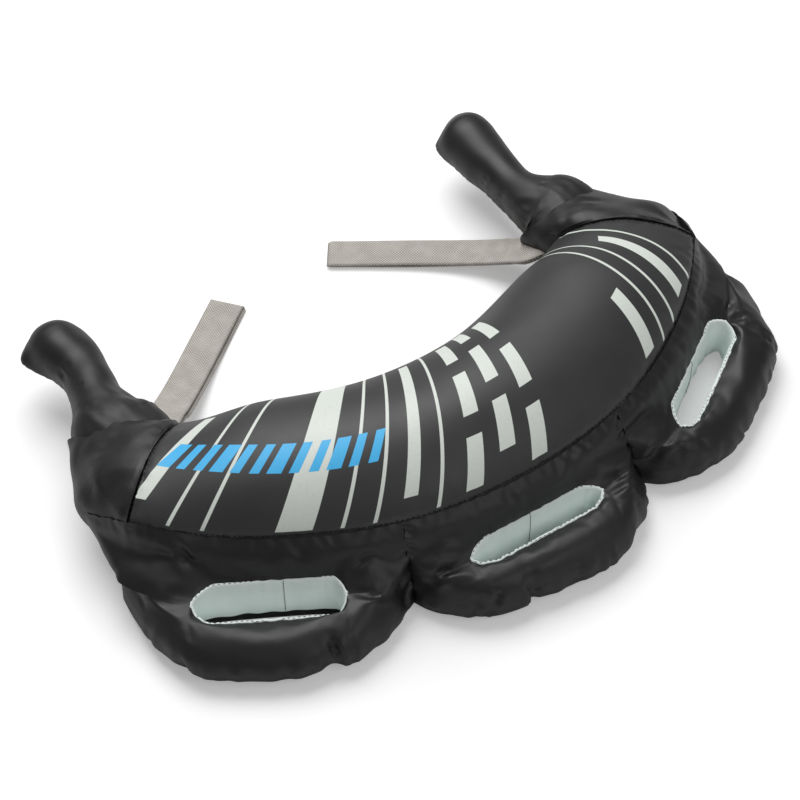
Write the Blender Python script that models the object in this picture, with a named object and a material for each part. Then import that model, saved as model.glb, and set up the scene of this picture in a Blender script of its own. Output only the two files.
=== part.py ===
"""Bulgarian bag: a sand-filled crescent with three hand slots, two soft horns and two webbing straps.

The bag lies on its base panel. The crescent bends round a vertical axis at (0, ARC_RADIUS), its two
horns point along +Y and its three grips bulge towards -Y. The origin lies on the base panel, halfway
along the crescent. A bearing is an angle about the vertical axis, measured from -Y towards +X.
"""
import math

import bmesh
import bpy
from mathutils import Matrix, Vector

for old_object in list(bpy.data.objects):
    bpy.data.objects.remove(old_object)

MM = 0.001

# Materials and clearances shared by every sewn piece
LEATHERETTE = 1.2 * MM
LINING_CLOTH = 1.0 * MM
WEBBING = 1.5 * MM
SEAM_GAP = 0.3 * MM
PANEL_EDGE_GAP = 0.35 * MM
FILL_GAP = 0.8 * MM

# The crescent: one section swept from end seam to end seam
ARC_RADIUS = 290 * MM
END_BEARING = math.radians(50.0)
JUNCTION_BEARING = math.radians(16.0)
GRIP_BEARING = math.radians(32.5)
SECTION_MIDDLE = 288 * MM
WAIST_HEIGHT = 52 * MM
BAG_HEIGHT = 118 * MM
BAG_HEIGHT_DROP = 12 * MM
SEAM_RADIUS = 359.5 * MM
SEAM_RADIUS_DROP = 9 * MM
SEAM_HEIGHT = 75 * MM
BELLY_REACH = 80 * MM
BELLY_REACH_DROP = 20 * MM
BELLY_ROUND = 32 * MM
INNER_SEAM_HEIGHT = 45 * MM
BAND_BULGE = 8 * MM
BAND_ROUND = 27.5 * MM
BAND_MIDDLE_HEIGHT = 50 * MM
LOWER_SEAM_HEIGHT = 4 * MM
BAND_STEP_COUNT = 6
CAP_RING_COUNT = 24

# End caps: each section lies between the end seam and the horn's mouth. Its shares are of the way
# along the outer side, of the outer bulge, of the way along the inner side, of the inner bulge,
# of the way from the floor and from the end seam's top to the mouth's bottom and top; the last
# number is how square the section is.
CAP_OUTER_BULGE = 28 * MM
CAP_INNER_BULGE = 16 * MM
CAP_SECTION_SHARES = (
    (0.30, 0.93, 0.12, 0.34, 0.04, 0.38, 2.3),
    (0.58, 1.00, 0.30, 0.80, 0.18, 0.64, 2.1),
    (0.81, 1.00, 0.48, 0.95, 0.44, 0.82, 2.0),
    (0.94, 0.42, 0.69, 0.62, 0.79, 0.94, 2.0),
)
CAP_MOUTH_RADIUS = 27.0 * MM
CAP_FILL_INSET = 3.4 * MM

# Horns: the ball that sits in the cap's mouth lies inward and forward of the end seam's middle. The
# way the middle line bends from it is in shares of the horn's length, sideways and forwards.
HORN_HEIGHT = 50 * MM
HORN_INWARD_STEP = {"left": 7.6 * MM, "right": 22.6 * MM}
HORN_FORWARD_STEP = 80.1 * MM
HORN_LENGTHS = {"left": 105 * MM, "right": 126 * MM}
HORN_BEND_SHARES = {
    "left": ((0.0, 0.0), (0.04, 0.32), (0.05, 0.58), (-0.04, 0.82), (-0.17, 0.98)),
    "right": ((0.0, 0.0), (-0.01, 0.27), (-0.01, 0.56), (0.0, 0.82), (0.01, 1.0)),
}
# From the neck to the tip: shares of the horn's length, and of its ball's or bulb's radius
HORN_NECK_SHARES = ((0.12, 0.87), (0.27, 0.84), (0.48, 0.87))
HORN_BULB_SHARES = ((0.66, 0.98), (0.80, 1.0), (0.90, 0.84), (0.965, 0.52))
HORN_TIP_SHARE = 0.85
HORN_BALL_RADIUS = 25 * MM
HORN_BALL_DEPTH = 13 * MM
HORN_BULB_RADIUS = 24.5 * MM
HORN_RING_COUNT = 16

# Grips: the stuffed handles outside the hand slots, and the slots' linings
SLOT_LENGTH = 120 * MM
SLOT_WIDTH = 26 * MM
SLOT_OFFSET = 16 * MM
SLOT_BOTTOM_SHIFT = -5 * MM
SLOT_INNER_TOP = 46 * MM
SLOT_OUTER_TOP = {"left": 33 * MM, "centre": 38 * MM, "right": 34 * MM}
SLOT_BOTTOM = 5 * MM
GRIP_BAR_WIDTH = {"left": 43.3 * MM, "centre": 25.5 * MM, "right": 37.3 * MM}
GRIP_BAR_CLEARANCE = 1.0 * MM
GRIP_SQUARENESS = 2.3
GRIP_SHOULDER_SHARE = 0.375
GRIP_SHOULDER_WIDTH_SHARE = 0.8
# Each leg as (spread of its root, half-width at the band, beside the slot, at its corner)
GRIP_LEG = (2.2 * MM, 20.5 * MM, 19 * MM, 12.5 * MM)
GRIP_END_LEG = (6.4 * MM, 26 * MM, 20 * MM, 16 * MM)
GRIP_BOTTOM = 1 * MM
GRIP_TOP = 38 * MM
GRIP_STATION_COUNT = 17
GRIP_RING_COUNT = 14
GRIP_HINGE_OFFSET = 4 * MM
GRIP_HINGE_HEIGHT = 45 * MM

# Straps: two layers of webbing folded into a loop, sewn to a tail under each cap
STRAP_WIDTH = 29 * MM
STRAP_LENGTH = 130 * MM
STRAP_LAYER_SPACE = 3 * MM
STRAP_SEWN_LENGTH = 10 * MM
STRAP_HINGE_HEIGHT = 6 * MM
STRAP_DROP_LENGTH = 36 * MM
STRAP_FLOOR_GAP = 0.3 * MM
STRAP_HEADINGS = {"left": math.radians(38.5), "right": math.radians(145.0)}
# The hinge, and the end of the tail under the cap, as inward and forward steps from the horn's root
STRAP_HINGE_STEPS = {"left": (58.7 * MM, 17.6 * MM), "right": (43.5 * MM, 26 * MM)}
TAIL_END_STEPS = {"left": (27 * MM, -7 * MM), "right": (16 * MM, -7 * MM)}
TAIL_END_HEIGHTS = {"left": 24 * MM, "right": 21.6 * MM}

SIDES = {"left": -1, "right": 1}
GRIPS = {"left": -GRIP_BEARING, "centre": 0.0, "right": GRIP_BEARING}
BAND_ENDS = {
    "left": (-END_BEARING, -JUNCTION_BEARING),
    "centre": (-JUNCTION_BEARING, JUNCTION_BEARING),
    "right": (JUNCTION_BEARING, END_BEARING),
}

BLACK = (0.018, 0.018, 0.019)
PANEL_GREY = (0.030, 0.030, 0.032)
LINING_GREEN = (0.47, 0.55, 0.53)
WEBBING_GREY = (0.41, 0.37, 0.34)
SAND_CLOTH = (0.55, 0.47, 0.36)
WOOL = (0.75, 0.72, 0.66)


def material(name, colour, roughness):
    made = bpy.data.materials.new(name)
    made.use_nodes = True
    shader = made.node_tree.nodes["Principled BSDF"]
    shader.inputs["Base Color"].default_value = (*colour, 1.0)
    shader.inputs["Roughness"].default_value = roughness
    shader.inputs["Metallic"].default_value = 0.0
    return made


def add_piece(name, mesh, colour, roughness, origin=Vector()):
    """Make one object of a mesh given in world places, with its origin where it turns."""
    mesh.transform(Matrix.Translation(-origin))
    mesh.shade_smooth()
    mesh.set_sharp_from_angle(angle=math.radians(40))
    piece = bpy.data.objects.new(name, mesh)
    piece.location = origin
    bpy.context.scene.collection.objects.link(piece)
    mesh.materials.append(material(name, colour, roughness))
    return piece


def add_thickness(piece, thickness):
    """Give a single-layer piece its thickness, inwards from its outer face."""
    solidify = piece.modifiers.new("thickness", "SOLIDIFY")
    solidify.thickness = thickness
    solidify.offset = -1.0
    solidify.use_even_offset = True


def loft(name, rings, closed_rings, flip, cap_ends=False, end_point=None):
    """Join rings of equally many points with quads, and close the ends if asked."""
    points = [point for ring in rings for point in ring]
    count = len(rings[0])
    columns = count if closed_rings else count - 1
    faces = []
    for row in range(len(rings) - 1):
        for column in range(columns):
            following = (column + 1) % count
            faces.append((
                row * count + column,
                (row + 1) * count + column,
                (row + 1) * count + following,
                row * count + following,
            ))
    last = (len(rings) - 1) * count
    if cap_ends:
        faces.append(tuple(range(count)))
        if end_point is None:
            faces.append(tuple(last + column for column in reversed(range(count))))
    if end_point is not None:
        points.append(end_point)
        for column in range(count):
            faces.append((last + column, len(points) - 1, last + (column + 1) % count))
    if flip:
        faces = [tuple(reversed(face)) for face in faces]
    mesh = bpy.data.meshes.new(name)
    mesh.from_pydata(points, [], faces)
    return mesh


def curve_through(points, steps):
    """Points of a smooth curve through the given vectors, with equal steps between each two."""
    padded = [points[0] * 2 - points[1], *points, points[-1] * 2 - points[-2]]
    curve = []
    for index in range(1, len(padded) - 2):
        before, start, end, after = padded[index - 1:index + 3]
        for step in range(steps):
            t = step / steps
            curve.append(
                start
                + (end - before) * (0.5 * t)
                + (before * 2 - start * 5 + end * 4 - after) * (0.5 * t * t)
                + (start * 3 - end * 3 + after - before) * (0.5 * t * t * t)
            )
    curve.append(points[-1].copy())
    return curve


def evenly_spaced(points, steps, closed):
    """Read a polyline again at equal distances along it."""
    route = [*points, points[0]] if closed else list(points)
    lengths = [0.0]
    for first, second in zip(route, route[1:]):
        lengths.append(lengths[-1] + (second - first).length)
    spaces = len(steps) if closed else len(steps) - 1
    read = []
    segment = 0
    for index in steps:
        target = min(lengths[-1] * index / spaces, lengths[-1])
        while segment < len(route) - 2 and lengths[segment + 1] < target:
            segment += 1
        share = (target - lengths[segment]) / (lengths[segment + 1] - lengths[segment])
        read.append(route[segment].lerp(route[segment + 1], share))
    return read


def shortened(points, distance):
    """Draw both ends of a profile back along it, to leave room at the seams."""
    drawn = [point.copy() for point in points]
    drawn[0] += (points[1] - points[0]).normalized() * distance
    drawn[-1] += (points[-2] - points[-1]).normalized() * distance
    return drawn


def arc(centre, reach, height, start, end, steps):
    """Points of an elliptic arc in the section plane, as (radius, height) vectors."""
    return [
        Vector((
            centre[0] + reach * math.cos(start + (end - start) * step / steps),
            centre[1] + height * math.sin(start + (end - start) * step / steps),
        ))
        for step in range(steps + 1)
    ]


def place(profile_point, bearing):
    """Put a (radius, height) point of the section at a bearing."""
    return Vector((
        profile_point[0] * math.sin(bearing),
        ARC_RADIUS - profile_point[0] * math.cos(bearing),
        profile_point[1],
    ))


class Section:
    """The crescent's section at one bearing: top, base and band profiles that close one outline."""

    def __init__(self, bearing):
        along = abs(bearing) / END_BEARING
        taper = max(0.0, 2 * along - 1) ** 2 * 0.5 + along ** 2 * 0.5
        self.seam_radius = SEAM_RADIUS - SEAM_RADIUS_DROP * along ** 2
        self.belly_reach = BELLY_REACH - BELLY_REACH_DROP * taper
        self.rise = BAG_HEIGHT - BAG_HEIGHT_DROP * taper - WAIST_HEIGHT
        self.band_centre = self.seam_radius + BAND_BULGE - BAND_ROUND

    def top(self):
        """From the outer seam over the top to the inner seam."""
        seam_angle = math.asin((SEAM_HEIGHT - WAIST_HEIGHT) / self.rise)
        outer_reach = (self.seam_radius - SECTION_MIDDLE) / math.cos(seam_angle)
        middle = (SECTION_MIDDLE, WAIST_HEIGHT)
        profile = arc(middle, outer_reach, self.rise, seam_angle, math.pi / 2, 4)
        profile += arc(middle, self.belly_reach, self.rise, math.pi / 2, math.pi, 6)[1:]
        profile.append(self.belly(0))
        return profile

    def belly(self, share):
        """A point on the inner underside, from the inner seam at 0 to the flat base at 1."""
        seam_angle = math.pi + math.asin((WAIST_HEIGHT - INNER_SEAM_HEIGHT) / WAIST_HEIGHT)
        angle = seam_angle + (1.5 * math.pi - seam_angle) * share
        centre = SECTION_MIDDLE - self.belly_reach + BELLY_ROUND
        return Vector((
            centre + BELLY_ROUND * math.cos(angle),
            WAIST_HEIGHT + WAIST_HEIGHT * math.sin(angle),
        ))

    def base(self):
        """From the inner seam down and along the flat base to the lower seam."""
        profile = [self.belly(share / 5) for share in range(6)]
        lower = arc((self.band_centre, BAND_MIDDLE_HEIGHT), BAND_ROUND, BAND_MIDDLE_HEIGHT,
                    -math.pi / 2, self.lower_seam_angle(), 2)
        return profile + lower

    def lower_seam_angle(self):
        return -math.asin((BAND_MIDDLE_HEIGHT - LOWER_SEAM_HEIGHT) / BAND_MIDDLE_HEIGHT)

    def band(self):
        """From the lower seam up round the bulge to the outer seam."""
        middle = (self.band_centre, BAND_MIDDLE_HEIGHT)
        seam_angle = math.acos((BAND_ROUND - BAND_BULGE) / BAND_ROUND)
        upper_height = (SEAM_HEIGHT - BAND_MIDDLE_HEIGHT) / math.sin(seam_angle)
        profile = arc(middle, BAND_ROUND, BAND_MIDDLE_HEIGHT, self.lower_seam_angle(), 0, 4)
        profile += arc(middle, BAND_ROUND, upper_height, 0, seam_angle, 3)[1:]
        return profile

    def outline(self, count, inset=0.0):
        """The closed section, drawn in by an inset, as evenly spaced (radius, height) points."""
        closed = self.top()[:-1] + self.base()[:-1] + self.band()[:-1]
        points = evenly_spaced(closed, range(count), True)
        if inset == 0.0:
            return points
        drawn = []
        for index, point in enumerate(points):
            along = points[(index + 1) % count] - points[index - 1]
            inward = Vector((-along[1], along[0])).normalized()
            drawn.append(point + inward * inset)
        return drawn


def band_radius(bearing, height=BAND_MIDDLE_HEIGHT):
    """How far the side band lies from the crescent's axis at a bearing and a height."""
    drop = (BAND_MIDDLE_HEIGHT - height) / BAND_MIDDLE_HEIGHT
    return Section(bearing).band_centre + BAND_ROUND * math.sqrt(1 - drop ** 2)


def bearings(start, end):
    """The shared station bearings of a stretch, with its ends kept back from the seams."""
    grid = []
    for first, last in BAND_ENDS.values():
        grid += [first + (last - first) * index / BAND_STEP_COUNT for index in range(BAND_STEP_COUNT)]
    margin = SEAM_GAP / SEAM_RADIUS
    inner = [bearing for bearing in grid if start + margin < bearing < end - margin]
    return [start + margin, *inner, end - margin]


def panel(name, profile_name, start, end, colour, roughness):
    """One sewn panel of the crescent: a section profile swept between two bearings."""
    rings = []
    for bearing in bearings(start, end):
        profile = shortened(getattr(Section(bearing), profile_name)(), PANEL_EDGE_GAP)
        rings.append([place(point, bearing) for point in profile])
    piece = add_piece(name, loft(name, rings, False, False), colour, roughness)
    add_thickness(piece, LEATHERETTE)


def sand_bag(name, start, end):
    """A sealed inner bag of sand that fills its third of the crescent."""
    inset = LEATHERETTE + FILL_GAP
    margin = (FILL_GAP + inset) / SECTION_MIDDLE
    stations = [start + margin, *bearings(start, end)[1:-1], end - margin]
    rings = []
    for index, bearing in enumerate(stations):
        end_inset = inset if index in (0, len(stations) - 1) else 0.0
        outline = Section(bearing).outline(CAP_RING_COUNT, inset + end_inset)
        rings.append([place(point, bearing) for point in outline])
    add_piece(name, loft(name, rings, True, False, cap_ends=True), SAND_CLOTH, 0.9)


def oval(centre, across, half_across, half_height, steps, squareness=2.0):
    """A ring round a level line: an ellipse that a squareness above 2 makes fuller."""
    ring = []
    for index in steps:
        angle = 2 * math.pi * index / len(steps)
        along_cos = math.copysign(abs(math.cos(angle)) ** (2 / squareness), math.cos(angle))
        along_sin = math.copysign(abs(math.sin(angle)) ** (2 / squareness), math.sin(angle))
        ring.append(centre + across * (half_across * along_cos)
                    + Vector((0, 0, half_height * along_sin)))
    return ring


def horn_root(side_name):
    """The centre of a horn's ball, where it bends."""
    end_middle = place((SECTION_MIDDLE, HORN_HEIGHT), SIDES[side_name] * END_BEARING)
    return end_middle + inward_step(side_name, (HORN_INWARD_STEP[side_name], HORN_FORWARD_STEP))


def inward_step(side_name, steps):
    """A level step given as a distance inward, to the crescent's middle plane, and one forward."""
    return Vector((-SIDES[side_name] * steps[0], steps[1], 0))


def drawn_in(ring, inset):
    """Move the points of a ring towards its middle."""
    middle = sum(ring, Vector()) / len(ring)
    return [point + (middle - point).normalized() * inset for point in ring]


def cap_rings(side_name):
    """Rings of an end cap from the end seam to its round mouth."""
    side = SIDES[side_name]
    bearing = side * (END_BEARING + 3 * SEAM_GAP / SEAM_RADIUS)
    end_section = Section(bearing)
    inner_seam = place((SECTION_MIDDLE - end_section.belly_reach, 0), bearing)
    outer_seam = place((band_radius(bearing), 0), bearing)
    top_height = WAIST_HEIGHT + end_section.rise
    mouth = horn_root(side_name)
    sideways = Vector((side, 0, 0))
    mouth_inner = Vector((mouth.x, mouth.y, 0)) - sideways * CAP_MOUTH_RADIUS
    mouth_outer = Vector((mouth.x, mouth.y, 0)) + sideways * CAP_MOUTH_RADIUS
    stations = [[place(point, bearing) for point in end_section.outline(CAP_RING_COUNT)]]
    for shares in CAP_SECTION_SHARES:
        outer_way, outer_bulge, inner_way, inner_bulge, bottom_way, top_way, squareness = shares
        outer = outer_seam.lerp(mouth_outer, outer_way) + sideways * CAP_OUTER_BULGE * outer_bulge
        inner = inner_seam.lerp(mouth_inner, inner_way) - sideways * CAP_INNER_BULGE * inner_bulge
        bottom = (HORN_HEIGHT - CAP_MOUTH_RADIUS) * bottom_way
        top = top_height + (HORN_HEIGHT + CAP_MOUTH_RADIUS - top_height) * top_way
        across = outer - inner
        centre = (inner + outer) / 2 + Vector((0, 0, (bottom + top) / 2))
        ring = oval(centre, across.normalized(), across.length / 2, (top - bottom) / 2,
                    range(4 * CAP_RING_COUNT), squareness)
        stations.append(evenly_spaced(ring, range(CAP_RING_COUNT), True))
    stations.append(oval(mouth, sideways, CAP_MOUTH_RADIUS, CAP_MOUTH_RADIUS, range(CAP_RING_COUNT)))
    stations[0] = aligned(stations[0], stations[1])
    lines = [curve_through([ring[column] for ring in stations], 2) for column in range(CAP_RING_COUNT)]
    return [[line[row] for line in lines] for row in range(len(lines[0]))]


def aligned(ring, target):
    """Turn a ring's numbering so that its points lie nearest those of another ring."""
    turned = [ring[turn:] + ring[:turn] for turn in range(len(ring))]
    return min(turned, key=lambda order: sum((a - b).length for a, b in zip(order, target)))


def end_cap(side_name):
    """The plain pouch between the end seam and the horn, open at both ends."""
    name = f"end_cap_{side_name}"
    mesh = loft(name, cap_rings(side_name), True, side_name == "left")
    add_thickness(add_piece(name, mesh, BLACK, 0.42), LEATHERETTE)


def cap_filling(side_name):
    """The wool that fills an end cap, stopping short of the horn's ball."""
    name = f"cap_filling_{side_name}"
    first, *rest = cap_rings(side_name)[3:7]
    rings = [drawn_in(first, 2 * CAP_FILL_INSET)]
    rings += [drawn_in(ring, CAP_FILL_INSET) for ring in rest]
    mesh = loft(name, rings, True, side_name == "left", cap_ends=True)
    add_piece(name, mesh, WOOL, 0.95)


def horn_rings(side_name, inset):
    """Rings of a horn from its ball, over the neck and the bulb to its tip."""
    root = horn_root(side_name)
    length = HORN_LENGTHS[side_name]
    path = [root + Vector((sideways, forwards, 0)) * length
            for sideways, forwards in HORN_BEND_SHARES[side_name]]
    line = curve_through(path, 8)
    lengths = [0.0]
    for first, second in zip(line, line[1:]):
        lengths.append(lengths[-1] + (second - first).length)
    total = lengths[-1]
    shape = []
    for depth_share in (1.0, 0.55, 0.0):
        depth = depth_share * HORN_BALL_DEPTH
        shape.append((-depth, math.sqrt(HORN_BALL_RADIUS ** 2 - depth ** 2)))
    shape += [(share * total, width_share * HORN_BALL_RADIUS) for share, width_share in HORN_NECK_SHARES]
    for share, width_share in HORN_BULB_SHARES:
        drawn_back = 2 * inset if share > HORN_TIP_SHARE else 0.0
        shape.append((share * (total - drawn_back), width_share * HORN_BULB_RADIUS))
    rings = []
    for distance, radius in shape:
        if distance <= 0:
            forward = (line[1] - line[0]).normalized()
            centre = root + forward * distance
        else:
            index = max(i for i, passed in enumerate(lengths[:-1]) if passed <= distance)
            share = (distance - lengths[index]) / (lengths[index + 1] - lengths[index])
            forward = (line[index + 1] - line[index]).normalized()
            centre = line[index].lerp(line[index + 1], share)
        across = Vector((forward.y, -forward.x, 0))
        rings.append(oval(centre, across, radius - inset, radius - inset, range(HORN_RING_COUNT)))
    tip = line[-1] + (line[-2] - line[-1]).normalized() * 2 * inset
    return rings, tip


def horn(side_name):
    """A horn: its sewn cover, open at the hidden end of the ball, and the wadding inside."""
    root = horn_root(side_name)
    rings, tip = horn_rings(side_name, 0.0)
    name = f"horn_cover_{side_name}"
    cover = add_piece(name, loft(name, rings, True, False, end_point=tip), BLACK, 0.42, root)
    add_thickness(cover, LEATHERETTE)
    rings, tip = horn_rings(side_name, LEATHERETTE + FILL_GAP)
    name = f"horn_wadding_{side_name}"
    mesh = loft(name, rings, True, False, cap_ends=True, end_point=tip)
    add_piece(name, mesh, WOOL, 0.95, root)


def grip_frame(grip_name):
    """The directions along and out of a grip."""
    bearing = GRIPS[grip_name]
    along = Vector((math.cos(bearing), math.sin(bearing), 0))
    outward = Vector((math.sin(bearing), -math.cos(bearing), 0))
    return along, outward


def grip_point(grip_name, along_distance, radius, height):
    """A point given along the grip, out from the crescent's axis and up."""
    along, outward = grip_frame(grip_name)
    return Vector((0, ARC_RADIUS, height)) + along * along_distance + outward * radius


def slot_middle(grip_name):
    """How far the middle of a grip's slot lies from the crescent's axis."""
    return band_radius(GRIPS[grip_name]) + SLOT_OFFSET


def grip_hinge(grip_name):
    """The middle of the line on which a grip folds."""
    radius = band_radius(GRIPS[grip_name]) + GRIP_HINGE_OFFSET
    return grip_point(grip_name, 0, radius, GRIP_HINGE_HEIGHT)


def leg_size(grip_name, side):
    """The sizes of one of a grip's legs, its bearing first: the outer grips' end legs are wide."""
    spread, root_half, side_half, corner_half = (
        GRIP_END_LEG if SIDES.get(grip_name) == side else GRIP_LEG)
    beside = SLOT_LENGTH / 2 + GRIP_BAR_CLEARANCE + side_half
    bearing = math.asin((beside + spread) / band_radius(GRIPS[grip_name]))
    return bearing, beside, root_half, side_half, corner_half


def half_route(grip_name, side, end_inset):
    """One leg's middle line from the side band to the slot's corner, as (along, out, half-width)."""
    bearing, beside, root_half, side_half, corner_half = leg_size(grip_name, side)
    radius = band_radius(GRIPS[grip_name] + side * bearing, GRIP_TOP) + SEAM_GAP + end_inset
    middle = slot_middle(grip_name)
    round_centre = (SLOT_LENGTH - SLOT_WIDTH) / 2
    corner = (SLOT_WIDTH / 2 + GRIP_BAR_CLEARANCE + corner_half) * math.sqrt(0.5)
    return [
        Vector((side * radius * math.sin(bearing), radius * math.cos(bearing), root_half)),
        Vector((side * beside, middle, side_half)),
        Vector((side * (round_centre + corner), middle + corner, corner_half)),
    ]


def grip_route(grip_name, end_inset):
    """The handle's middle line from leg to leg round its slot, as (along, out, half-width)."""
    inner_edge = slot_middle(grip_name) + SLOT_WIDTH / 2 + GRIP_BAR_CLEARANCE
    half_width = GRIP_BAR_WIDTH[grip_name] / 2
    shoulder_half = GRIP_SHOULDER_WIDTH_SHARE * half_width
    shoulder = GRIP_SHOULDER_SHARE * SLOT_LENGTH
    return [
        *half_route(grip_name, -1, end_inset),
        Vector((-shoulder, inner_edge + shoulder_half, shoulder_half)),
        Vector((0, inner_edge + half_width, half_width)),
        Vector((shoulder, inner_edge + shoulder_half, shoulder_half)),
        *reversed(half_route(grip_name, 1, end_inset)),
    ]


def grip_rings(grip_name, inset, end_inset):
    """Rings of the stuffed handle round the outside of its slot."""
    curve = curve_through(grip_route(grip_name, end_inset), 6)
    line = evenly_spaced(curve, range(GRIP_STATION_COUNT), False)
    along, outward = grip_frame(grip_name)
    middle_height = (GRIP_BOTTOM + GRIP_TOP) / 2
    half_height = (GRIP_TOP - GRIP_BOTTOM) / 2 - inset
    rings = []
    for index, station in enumerate(line):
        before = line[max(index - 1, 0)]
        after = line[min(index + 1, len(line) - 1)]
        if index in (0, len(line) - 1):
            side = -1 if index == 0 else 1
            bearing = leg_size(grip_name, side)[0]
            step = Vector((-math.sin(bearing), -side * math.cos(bearing)))
        else:
            step = Vector((after.x - before.x, after.y - before.y)).normalized()
        across = along * step.y - outward * step.x
        centre = grip_point(grip_name, station.x, station.y, middle_height)
        rings.append(oval(centre, across, station.z - inset, half_height, range(GRIP_RING_COUNT),
                          GRIP_SQUARENESS))
    return rings


def grip(grip_name):
    """One handle: the sewn cover, open at both roots, and the wadding inside."""
    hinge = grip_hinge(grip_name)
    name = f"grip_cover_{grip_name}"
    mesh = loft(name, grip_rings(grip_name, 0.0, 0.0), True, True)
    add_thickness(add_piece(name, mesh, BLACK, 0.42, hinge), LEATHERETTE)
    name = f"grip_wadding_{grip_name}"
    rings = grip_rings(grip_name, LEATHERETTE + 2 * FILL_GAP, FILL_GAP)
    mesh = loft(name, rings, True, True, cap_ends=True)
    add_piece(name, mesh, WOOL, 0.95, hinge)


def slot_ring(grip_name, out_middle, inner_height, outer_height):
    """A round-ended ring round the slot, tilted from its inner to its outer long side."""
    half_width = SLOT_WIDTH / 2
    straight = SLOT_LENGTH / 2 - half_width
    ring = []
    for centre, start in ((straight, -math.pi / 2), (-straight, math.pi / 2)):
        for step in range(9):
            angle = start + math.pi * step / 8
            across = half_width * math.sin(angle)
            share = 0.5 + 0.5 * math.sin(angle)
            height = inner_height + (outer_height - inner_height) * share
            along = centre + half_width * math.cos(angle)
            ring.append(grip_point(grip_name, along, out_middle + across, height))
    return ring


def slot_lining(grip_name):
    """The cloth sleeve through a hand slot, from its tilted rim down to the underside."""
    name = f"slot_lining_{grip_name}"
    middle = slot_middle(grip_name)
    rings = [
        slot_ring(grip_name, middle + SLOT_BOTTOM_SHIFT, SLOT_BOTTOM, SLOT_BOTTOM),
        slot_ring(grip_name, middle, SLOT_INNER_TOP, SLOT_OUTER_TOP[grip_name]),
    ]
    mesh = loft(name, rings, True, True)
    add_thickness(add_piece(name, mesh, LINING_GREEN, 0.7, grip_hinge(grip_name)), LINING_CLOTH)


def strap_frame(side_name):
    """The strap's hinge point and the directions along and across it."""
    heading = STRAP_HEADINGS[side_name]
    along = Vector((math.cos(heading), math.sin(heading), 0))
    across = Vector((math.sin(heading), -math.cos(heading), 0))
    hinge = horn_root(side_name) + inward_step(side_name, STRAP_HINGE_STEPS[side_name])
    hinge.z = STRAP_HINGE_HEIGHT
    return hinge, along, across


def strap_height(distance):
    """Height of the strap's middle, from the hinge down to the floor."""
    floor_height = STRAP_FLOOR_GAP + STRAP_LAYER_SPACE / 2 + WEBBING
    share = min(distance / STRAP_DROP_LENGTH, 1.0)
    drop = share * share * (3 - 2 * share) * 0.6 + (1 - (1 - share) ** 2) * 0.4
    return STRAP_HINGE_HEIGHT + (floor_height - STRAP_HINGE_HEIGHT) * drop


def strap_outline(start, end, start_half, end_half):
    """A round-ended outline along the strap's middle line, as (distance, height) points."""
    lengths = [start, start + 0.3 * start_half, start + start_half]
    lengths += [start + 2 * start_half + (end - end_half - start - 2 * start_half) * share / 9
                for share in range(10)]
    lengths += [end - 0.3 * end_half, end]
    upper = []
    lower = []
    for distance in lengths:
        share = min((distance - start) / STRAP_DROP_LENGTH, 1.0)
        half = start_half + (end_half - start_half) * share
        from_end = min((distance - start) / start_half, (end - distance) / end_half)
        if from_end < 1:
            half *= math.sqrt(1 - (1 - from_end) ** 2)
        slope = (strap_height(distance + WEBBING) - strap_height(distance - WEBBING)) / (2 * WEBBING)
        normal = Vector((-slope, 1)).normalized()
        middle = Vector((distance, strap_height(distance)))
        upper.append(middle + normal * half)
        lower.append(middle - normal * half)
    return upper + list(reversed(lower[1:-1]))


def strap(side_name):
    """A loop of webbing, lying on the floor and lifting about its sewn root."""
    hinge, along, across = strap_frame(side_name)
    root_half = WEBBING + SEAM_GAP
    end_half = WEBBING + STRAP_LAYER_SPACE / 2
    outer = strap_outline(-root_half, STRAP_LENGTH, root_half, end_half)
    inner = strap_outline(STRAP_SEWN_LENGTH, STRAP_LENGTH - WEBBING, SEAM_GAP, end_half - WEBBING)
    count = len(outer)
    points = []
    for offset in (-STRAP_WIDTH / 2, STRAP_WIDTH / 2):
        for outline in (outer, inner):
            for distance, height in outline:
                level = Vector((hinge.x, hinge.y, height))
                points.append(level + along * distance + across * offset)
    faces = []
    for index in range(count):
        following = (index + 1) % count
        near_outer, near_inner, far_outer, far_inner = (index + count * ring for ring in range(4))
        near_outer_next, near_inner_next, far_outer_next, far_inner_next = (
            following + count * ring for ring in range(4))
        faces.append((near_outer, near_outer_next, far_outer_next, far_outer))
        faces.append((near_inner_next, near_inner, far_inner, far_inner_next))
        faces.append((near_outer_next, near_outer, near_inner, near_inner_next))
        faces.append((far_outer, far_outer_next, far_inner_next, far_inner))
    name = f"strap_{side_name}"
    mesh = bpy.data.meshes.new(name)
    mesh.from_pydata(points, [], faces)
    outward_faces(mesh)
    add_piece(name, mesh, WEBBING_GREY, 0.85, hinge)


def strap_tail(side_name):
    """The strap's sewn tail, from the hinge back and up under the end cap."""
    hinge, along, across = strap_frame(side_name)
    half_thickness = WEBBING + SEAM_GAP
    start = hinge - along * (half_thickness + 2 * SEAM_GAP)
    end = horn_root(side_name) + inward_step(side_name, TAIL_END_STEPS[side_name])
    end.z = TAIL_END_HEIGHTS[side_name]
    end_along = (end - hinge)
    end_along.z = 0
    end_along.normalize()
    end_across = Vector((-end_along.y, end_along.x, 0))
    if end_across.dot(across) < 0:
        end_across = -end_across
    rings = []
    for index in range(5):
        share = index / 4
        centre = start.lerp(end, share)
        centre.z = hinge.z + (end.z - hinge.z) * share
        side = across.lerp(end_across, share).normalized() * (STRAP_WIDTH / 2)
        up = Vector((0, 0, half_thickness))
        rings.append([centre - side - up, centre + side - up, centre + side + up, centre - side + up])
    name = f"strap_tail_{side_name}"
    mesh = loft(name, rings, True, False, cap_ends=True)
    outward_faces(mesh)
    add_piece(name, mesh, WEBBING_GREY, 0.85)


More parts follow.
